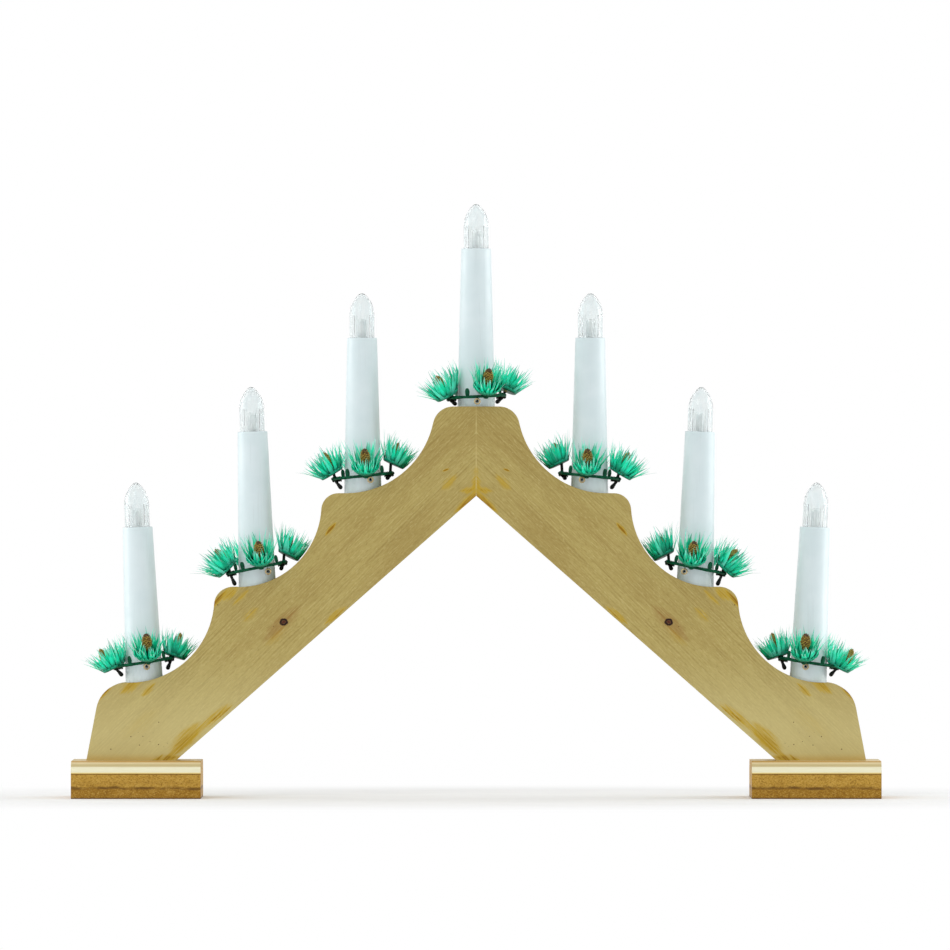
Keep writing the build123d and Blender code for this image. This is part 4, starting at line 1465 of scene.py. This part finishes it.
@dataclass(frozen=True)
class Band:
    """The moulded ring with its bosses and leaf tabs."""

    radius: float = 14.3
    thick: float = 0.8
    seam: float = 0.06
    steps: int = 96
    sides: int = 12
    boss_radius: float = 1.45
    boss_length: float = 2.0
    boss_bore: float = 0.7
    boss_edge: float = 0.3
    turned_sides: int = 20
    tab_wide: float = 2.4
    tab_tall: float = 4.4
    tab_thick: float = 0.9
    tab_swing: float = 53.0

    def grow(self, site: Site, sprig: Sprig) -> None:
        """Make one ring.

        Args:
            site: Where the ring is.
            sprig: The sprigs that stand on it.
        """
        soup = Soup()
        frame = site.ring()
        points = []
        for turn in round_steps(self.steps):
            swell = self.thick * (0.94 + 0.06 * math.sin(turn * 9.0 + site.place))
            for k, around in enumerate(round_steps(self.sides)):
                seam = self.seam if k in (0, self.sides // 2) else 0.0
                reach = self.radius + (swell + seam) * math.cos(around)
                spot = (reach * math.cos(turn), reach * math.sin(turn), swell * math.sin(around))
                points.append(frame @ Vector(spot))
        soup.plain((points, loop_faces(self.steps, self.sides)))
        half, wide, edge = self.boss_length / 2, self.boss_radius, self.boss_edge
        profile = [
            (self.boss_bore, -half), (wide - edge, -half), (wide, -half + edge),
            (wide, half - edge), (wide - edge, half), (self.boss_bore, half),
        ]
        for k in range(4):
            soup.plain(lathe(profile, sprig.frame(site, k), self.turned_sides))
            turn = site.turns()[0 if k < 2 else 2]
            self.tab(soup, frame, turn + (self.tab_swing if k % 2 else -self.tab_swing))
        soup.piece("green_ring", site, RING_GREEN, "wreath_ring")

    def tab(self, soup: Soup, frame: Matrix, turn: float) -> None:
        """Add one oval leaf tab that stands on the ring.

        Args:
            soup: Where it is added.
            frame: The ring's frame.
            turn: Its direction round the ring.
        """
        place = frame @ turned(turn) @ Matrix.Translation((self.radius, 0.0, self.tab_tall / 2))
        shape = Matrix.Diagonal((self.tab_thick / 2, self.tab_wide / 2, self.tab_tall / 2, 1.0))
        rows = [math.pi * k / 10 for k in range(1, 10)]
        profile = [(math.sin(row) ** 0.8, -math.cos(row)) for row in rows]
        soup.plain(lathe(profile, place @ shape, self.turned_sides))


@dataclass(frozen=True)
class PineCone:
    """A small cone of spiralled scales. Its tables are laid out as those of the sprigs."""

    radius: float = 2.5
    length: float = 9.2
    belly: float = 0.42
    above_belly: float = 0.58
    taper: float = 0.8
    seat: float = 5.2
    front_seats: Row = (6.0, 5.9, 5.3, 6.7)
    inner_seats: Row = (1.9, 4.4, 3.2, 5.8)
    moves: Table = (
        (0.0, 0.0, 0.0, 0.0), (-2.0, 0.0, -1.3, 0.0), (-2.4, 0.0, -2.0, 0.0), (-0.6, 0.0, 2.0, 0.0),
    )
    slim: float = 0.72
    scales: int = 84
    first_scale: float = 0.03
    scaled_share: float = 0.87
    tones: tuple[float, float] = (0.75, 0.45)
    tone_spread: float = 0.3
    core_share: float = 0.8
    core_steps: int = 12
    core_sides: int = 14

    def frame(self, site: Site, sprig: Sprig, k: int) -> Matrix:
        """The frame of one cone, with its foot at the origin.

        Args:
            site: Where the ring is.
            sprig: The sprigs that hold the cones.
            k: Which of the four it is.

        Returns:
            The frame.
        """
        side = site.inward(k)
        seat = {3: self.front_seats[site.rank], 0: self.inner_seats[site.rank]}.get(side, self.seat)
        width = 1.0 if side % 2 else self.slim
        move = Matrix.Translation((self.moves[site.rank][side], 0.0, seat))
        return sprig.seat(site, k) @ move @ Matrix.Diagonal((width, width, 1.0, 1.0))

    def girth(self, share: float) -> float:
        """How thick the cone is at some height.

        Args:
            share: The height as a share of the cone's length.

        Returns:
            The radius there.
        """
        fullness = 0.5 + 0.5 * math.sin(math.pi * min(share / self.belly, 1.0) / 2)
        slimmed = 1.0 - self.taper * max((share - self.belly) / self.above_belly, 0.0) ** 2
        return self.radius * fullness * slimmed

    def scale(self, soup: Soup, place: Matrix, share: float, turn: float, tone: float) -> None:
        """Add one scale: a raised lozenge that points up and out.

        Args:
            soup: Where it is added.
            place: The cone's frame.
            share: How far up the cone it stands.
            turn: Its direction, in radians.
            tone: Its own tone.
        """
        reach, height = self.girth(share), share * self.length
        size = 0.5 + 0.5 * self.girth(share) / self.radius
        spun = place @ Matrix.Rotation(turn, 4, "Z")
        shape = [
            (reach * 0.7, 0.0, height - 0.5 * size),
            (reach * 0.92, 0.78 * size, height + 0.35 * size),
            (reach * 1.12, 0.0, height + 0.8 * size),
            (reach * 0.92, -0.78 * size, height + 0.35 * size),
            (reach * 1.02, 0.0, height + 0.05 * size),
            (reach * 0.6, 0.0, height + 0.75 * size),
        ]
        faces = [
            (0, 4, 1), (0, 3, 4), (4, 2, 1), (4, 3, 2), (1, 2, 5), (2, 3, 5), (0, 1, 5), (0, 5, 3),
        ]
        # Low runs at the scale's foot and underside carry the painted shade between the scales.
        runs = [0.0, 0.5, 1.0, 0.5, 0.75, 0.1]
        soup.add([spun @ Vector(at) for at in shape], faces, runs, tone)

    def grow(self, site: Site, sprig: Sprig) -> None:
        """Make the four cones of one ring.

        Args:
            site: Where the ring is.
            sprig: The sprigs that hold them.
        """
        soup = Soup()
        chance = random.Random(40 + site.rank)
        core = []
        for row in range(self.core_steps + 1):
            share = row / self.core_steps
            core.append((max(self.girth(share) * self.core_share, 0.15), share * self.length))
        for k in range(4):
            place = self.frame(site, sprig, k)
            tone = self.tones[k % 2]
            # The core's run of 0 gives it the painted shade between the scales.
            soup.plain(lathe(core, place, self.core_sides), 0.0, tone)
            for step in range(self.scales):
                share = self.first_scale + self.scaled_share * step / (self.scales - 1)
                stray = chance.uniform(-self.tone_spread, self.tone_spread)
                shade = tone + stray - 0.45 * max(share - 0.7, 0.0) / 0.2
                self.scale(soup, place, share, step * math.radians(GOLDEN_TURN), shade)
        soup.piece("gilt_cones", site, CONE, "wreath_cones")


@dataclass(frozen=True)
class TwistWire:
    """The dark wires that hold the cones, their knobs, and the gilt eyelet at the front.

    The tables run from the centre candle outwards. A look is the two values of Soup.plain.
    """

    radius: float = 0.72
    sides: int = 10
    wire_look: tuple[float, float] = (0.4, 0.4)
    end_look: tuple[float, float] = (0.7, 0.6)
    below: float = 1.5
    foot_radius: float = 11.1
    wall_foot_radius: float = 12.3
    knob_radius: float = 1.05
    knob_length: float = 2.4
    knob_sides: int = 16
    front_below: float = 1.1
    pin_radius: float = 0.26
    bead_radius: float = 0.68
    bead_sides: int = 14
    eyelet_radius: float = 1.24
    eyelet_thick: float = 0.42
    eyelet_depth: float = 0.5
    eyelet_steps: int = 28
    eyelet_sides: int = 10
    eyelet_drops: Row = (2.4, 2.2, 2.9, 2.2)
    eyelet_shifts: Row = (-0.4, 3.7, 5.4, 1.7)
    wrap_span: tuple[float, float] = (10.7, 15.3)
    wrap_radius: float = 1.45
    wrap_drop: float = 0.35
    wrap_steps: int = 28
    wrap_sides: int = 12
    wrap_wave: float = 0.14
    rear_shifts: Row = (0.0, 0.0, 5.6, 0.0)
    knob_heights: Table = (
        (196.0, 194.95, 195.0), (158.2, 152.76, 153.6), (113.4, 106.32, 105.9), (64.2, 58.84, 60.9),
    )

    def grow(self, site: Site, sprig: Sprig, cone: PineCone) -> None:
        """Make the four wires of one ring.

        Args:
            site: Where the ring is.
            sprig: The sprigs that the wires pass through.
            cone: The cones that they hold.
        """
        soup = Soup()
        centre = site.ring().translation
        for k, turn in enumerate(site.turns()):
            place = sprig.frame(site, k)
            top = cone.frame(site, sprig, k) @ upward(0.3)
            if k == 3:
                self.front(soup, top, place @ upward(-self.front_below), self.hang(site))
                continue
            reach = self.wall_foot_radius if site.faces_wall(k) else self.foot_radius
            way = math.radians(turn)
            spot = Vector((math.cos(way), math.sin(way), 0.0)) * reach
            if k == 1:
                spot.x += self.rear_shifts[site.rank] * site.side
            else:
                self.wrap(soup, site.ring(), turn)
            height = self.knob_heights[site.rank][site.inward(k)]
            knob = Vector((centre.x + spot.x, spot.y, height))
            bend = place @ upward(-self.below)
            line = [top.lerp(bend, share) for share in (0.0, 0.35, 0.7, 0.86)]
            line += [self.curve(top, bend, knob, share) for share in (0.25, 0.5, 0.75)]
            line += [bend.lerp(knob, share) for share in (0.2, 0.5, 0.8, 1.0)]
            soup.plain(hose(line, [self.radius] * len(line), self.sides), *self.wire_look)
            self.knob(soup, bend, knob)
        soup.piece("cone_wires", site, TWIST_BLACK, "wreath_cones")

    def wrap(self, soup: Soup, frame: Matrix, turn: float) -> None:
        """Add the wire's twisted turns that lie across the ring.

        Args:
            soup: Where they are added.
            frame: The ring's frame.
            turn: Their direction round the ring.
        """
        place = frame @ turned(turn)
        start, end = self.wrap_span
        line, radii = [], []
        for step in range(self.wrap_steps + 1):
            reach = start + (end - start) * step / self.wrap_steps
            line.append(place @ Vector((reach, 0.0, -self.wrap_drop)))
            radii.append(self.wrap_radius * (0.9 + self.wrap_wave * math.sin(step * 1.35)))
        soup.plain(hose(line, radii, self.wrap_sides), *self.wire_look)

    def front(self, soup: Soup, top: Vector, foot: Vector, hook: Matrix) -> None:
        """Add the short front wire, and the thin pin whose end is a bead in the eyelet.

        Args:
            soup: Where they are added.
            top: Where the wire starts, inside its cone.
            foot: Where it ends, under the ring.
            hook: The frame of the eyelet.
        """
        eye = hook.translation
        wires = ((top, foot, self.radius), (hook @ Vector((0.0, 0.2, 2.0)), eye, self.pin_radius))
        for start, end, radius in wires:
            line = [start.lerp(end, step / 5) for step in range(6)]
            soup.plain(hose(line, [radius] * len(line), self.sides), *self.wire_look)
        rows = [math.pi * row / 8 for row in range(1, 8)]
        bead = self.bead_radius
        profile = [(bead * math.sin(row), -bead * math.cos(row)) for row in rows]
        soup.plain(lathe(profile, Matrix.Translation(eye), self.bead_sides), *self.end_look)

    @staticmethod
    def curve(top: Vector, bend: Vector, knob: Vector, share: float) -> Vector:
        """The point at a share of the soft bend between a wire's two runs."""
        start, end = bend.lerp(top, 0.12), bend.lerp(knob, 0.15)
        return start.lerp(bend, share).lerp(bend.lerp(end, share), share)

    def knob(self, soup: Soup, bend: Vector, knob: Vector) -> None:
        """Add the crimped knob at a wire's end.

        Args:
            soup: Where it is added.
            bend: Where the wire comes from.
            knob: The middle of the knob's round end.
        """
        back = (bend - knob).normalized()
        turns = [math.pi / 2 * share for share in (k / 6 for k in range(7))]
        line = [knob - back * self.knob_radius * math.cos(turn) for turn in turns]
        radii = [max(self.knob_radius * math.sin(turn), 0.06) for turn in turns]
        length = min(self.knob_length, (bend - knob).length * 0.55)
        line += [knob + back * length * share for share in (0.45, 0.55, 0.9, 1.0)]
        radii += [self.knob_radius * share for share in (1.0, 0.84, 0.84, 0.62)]
        soup.plain(hose(line, radii, self.knob_sides), *self.end_look)

    def hang(self, site: Site) -> Matrix:
        """The frame of the eyelet, with its middle at the origin and Y through its hole.

        Args:
            site: Where the ring is.

        Returns:
            The frame.
        """
        shift = self.eyelet_shifts[site.rank] * -site.side
        depth = math.sqrt(Sprig.ring_radius ** 2 - shift ** 2)
        spot = (shift, -depth - 0.2, -self.eyelet_drops[site.rank])
        return site.ring() @ Matrix.Translation(spot)

    def eyelet(self, site: Site) -> None:
        """Make the gilt eyelet that hangs under the front of one ring.

        Args:
            site: Where the ring is.
        """
        soup = Soup()
        place = self.hang(site)
        points = []
        for angle in round_steps(self.eyelet_steps):
            out = Vector((math.cos(angle), 0.0, math.sin(angle)))
            for turn in round_steps(self.eyelet_sides):
                rise = out * (self.eyelet_radius + self.eyelet_thick * math.cos(turn))
                deep = Vector((0.0, self.eyelet_depth * math.sin(turn), 0.0))
                points.append(place @ (rise + deep))
        faces = loop_faces(self.eyelet_steps, self.eyelet_sides)
        soup.plain((points, [(a, d, c, b) for a, b, c, d in faces]))
        soup.piece("gilt_eyelet", site, GILT, "wreath_cones")


@dataclass(frozen=True)
class GreenRing:
    """One green ring with its sprigs, cones, wires and eyelet."""

    band: Band = Band()
    sprig: Sprig = Sprig()
    cone: PineCone = PineCone()
    wire: TwistWire = TwistWire()

    def build(self, site: Site, room: Room) -> None:
        """Make the ring's five pieces.

        Args:
            site: Where the ring is.
            room: What its needles must keep clear of.
        """
        self.band.grow(site, self.sprig)
        self.sprig.grow(site, room)
        self.cone.grow(site, self.sprig)
        self.wire.grow(site, self.sprig, self.cone)
        self.wire.eyelet(site)


@dataclass(frozen=True)
class Frame:
    """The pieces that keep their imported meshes, and the finish of each."""

    nodes: dict[str, bpy.types.Object]

    def dress(self, name: str, finish: Finish) -> None:
        """Give a node a finish.

        Args:
            name: The node.
            finish: Its finish.
        """
        mesh = self.nodes[name].data
        mesh.materials.clear()
        mesh.materials.append(finish.material())
        LOG.info("dressed %s with %s", name, finish.title)

    def room(self, site: Site) -> Room:
        """The room round one candle that its green ring may fill."""
        names = [f"candle_tube_{site.place}"] + [f"{side.word}_leg" for side in Side]
        return Room([self.nodes[name] for name in names])

    def dress_all(self, places: range) -> None:
        """Dress the boards, feet, fixings, wiring, tubes and lamps.

        Args:
            places: The places of the candles.
        """
        for side in Side:
            self.dress(f"{side.word}_leg", PINE[side])
            self.dress(f"{side.word}_foot", FOOT_WOOD)
        for name, finish in SINGLE_NODES.items():
            self.dress(name, finish)
        for stem, finish in CANDLE_NODES.items():
            for place in places:
                self.dress(f"{stem}_{place}", finish)


@dataclass(frozen=True)
class Studio:
    """The camera, the lamps, the white surroundings and the pale floor. Lengths are in metres."""

    distance: float = 6.0
    eye_height: float = 0.1597
    shift: float = -0.0006
    view_width: float = 0.47025
    plane: float = -0.005
    sensor: float = 36.0
    surround: float = 0.74
    floor_reach: float = 6.0
    floor_gap: float = 0.00005
    lamp_aim: float = 0.15
    key_power: float = 5.0
    left_rim_power: float = 3.2
    right_rim_power: float = 4.5

    def build(self) -> None:
        """Set up everything round the object."""
        scene = bpy.context.scene
        scene.view_settings.view_transform = "Standard"
        self.camera(scene)
        self.world(scene)
        self.floor()
        self.lamp("key", (-0.7, -1.3, 1.15), 0.9, self.key_power)
        self.lamp("rim_left", (-1.0, 0.12, 0.35), 0.7, self.left_rim_power)
        self.lamp("rim_right", (1.0, 0.12, 0.35), 0.7, self.right_rim_power)

    def camera(self, scene: bpy.types.Scene) -> None:
        """Add the camera, level with the arch's middle.

        Args:
            scene: The scene it looks at.
        """
        data = bpy.data.cameras.new("camera")
        data.sensor_width = self.sensor
        data.lens = self.sensor * self.distance / self.view_width
        data.clip_start, data.clip_end = 0.05, 50.0
        camera = bpy.data.objects.new("camera", data)
        camera.location = (self.shift, self.plane - self.distance, self.eye_height)
        camera.rotation_euler = (math.pi / 2, 0.0, 0.0)
        scene.collection.objects.link(camera)
        scene.camera = camera

    def world(self, scene: bpy.types.Scene) -> None:
        """Make the surroundings white to the eye, and a plain light for the object.

        Args:
            scene: The scene.
        """
        world = bpy.data.worlds.new("surroundings")
        graph = cleared(world)
        path = graph.node("LightPath").outputs
        mirrored = graph.math("MAXIMUM", path["Is Glossy Ray"], path["Is Transmission Ray"])
        looking = graph.math("MAXIMUM", path["Is Camera Ray"], mirrored)
        plain, white = [
            graph.node("Background", {"Color": WHITE, "Strength": strength}).outputs[0]
            for strength in (self.surround, 1.0)
        ]
        both = graph.node("MixShader", {0: looking, 1: plain, 2: white}).outputs[0]
        graph.node("OutputWorld", {"Surface": both})
        scene.world = world

    def floor(self) -> None:
        """Add the pale floor, which fades to white away from the object."""
        size = self.floor_reach
        corner_points = [(-size, -size, 0), (size, -size, 0), (size, size, 0), (-size, size, 0)]
        mesh = bpy.data.meshes.new("floor")
        mesh.from_pydata(corner_points, [], [(0, 1, 2, 3)])
        floor = bpy.data.objects.new("floor", mesh)
        floor.location.z = -self.floor_gap
        bpy.context.scene.collection.objects.link(floor)
        material = bpy.data.materials.new("pale_floor")
        graph = cleared(material)
        place = graph.node("TexCoord").outputs["Object"]
        away = graph.vector("LENGTH", graph.stretch(place, (0.8, 1.6, 0.0)))
        cloud = graph.rise(graph.noise(place, 30.0), 0.3, 0.7)
        tone = graph.mix(cloud, (0.93, 0.93, 0.93), (0.91, 0.91, 0.91))
        dull = {"Base Color": tone, "Roughness": 0.9, "Specular IOR Level": 0.1}
        matt = graph.node("BsdfPrincipled", dull).outputs[0]
        glow = graph.node("Emission", {"Color": WHITE, "Strength": 1.0}).outputs[0]
        path = graph.node("LightPath").outputs
        share = graph.times(graph.rise(away, 0.2, 0.42), path["Is Camera Ray"])
        both = graph.node("MixShader", {0: share, 1: matt, 2: glow}).outputs[0]
        graph.node("OutputMaterial", {"Surface": both})
        mesh.materials.append(material)

    def lamp(self, name: str, spot: tuple[float, float, float], size: float, power: float) -> None:
        """Add one soft lamp that points at the middle of the arch.

        Args:
            name: Its name.
            spot: Where it stands.
            size: The length of its sides.
            power: Its power, in watts.
        """
        data = bpy.data.lights.new(name, "AREA")
        data.energy = power
        data.size = size
        lamp = bpy.data.objects.new(name, data)
        lamp.location = spot
        way = upward(self.lamp_aim) - Vector(spot)
        lamp.rotation_euler = way.to_track_quat("-Z", "Y").to_euler()
        bpy.context.scene.collection.objects.link(lamp)


def main() -> None:
    """Load the frame, dress it, build the green rings and set up the studio."""
    logging.basicConfig(level=logging.INFO, format="%(name)s: %(message)s")
    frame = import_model()
    places = range(1, 8)
    Studio().build()
    arch = Frame(frame["nodes"])
    arch.dress_all(places)
    for place in places:
        site = Site(place)
        GreenRing().build(site, arch.room(site))


if __name__ == "__main__":
    main()
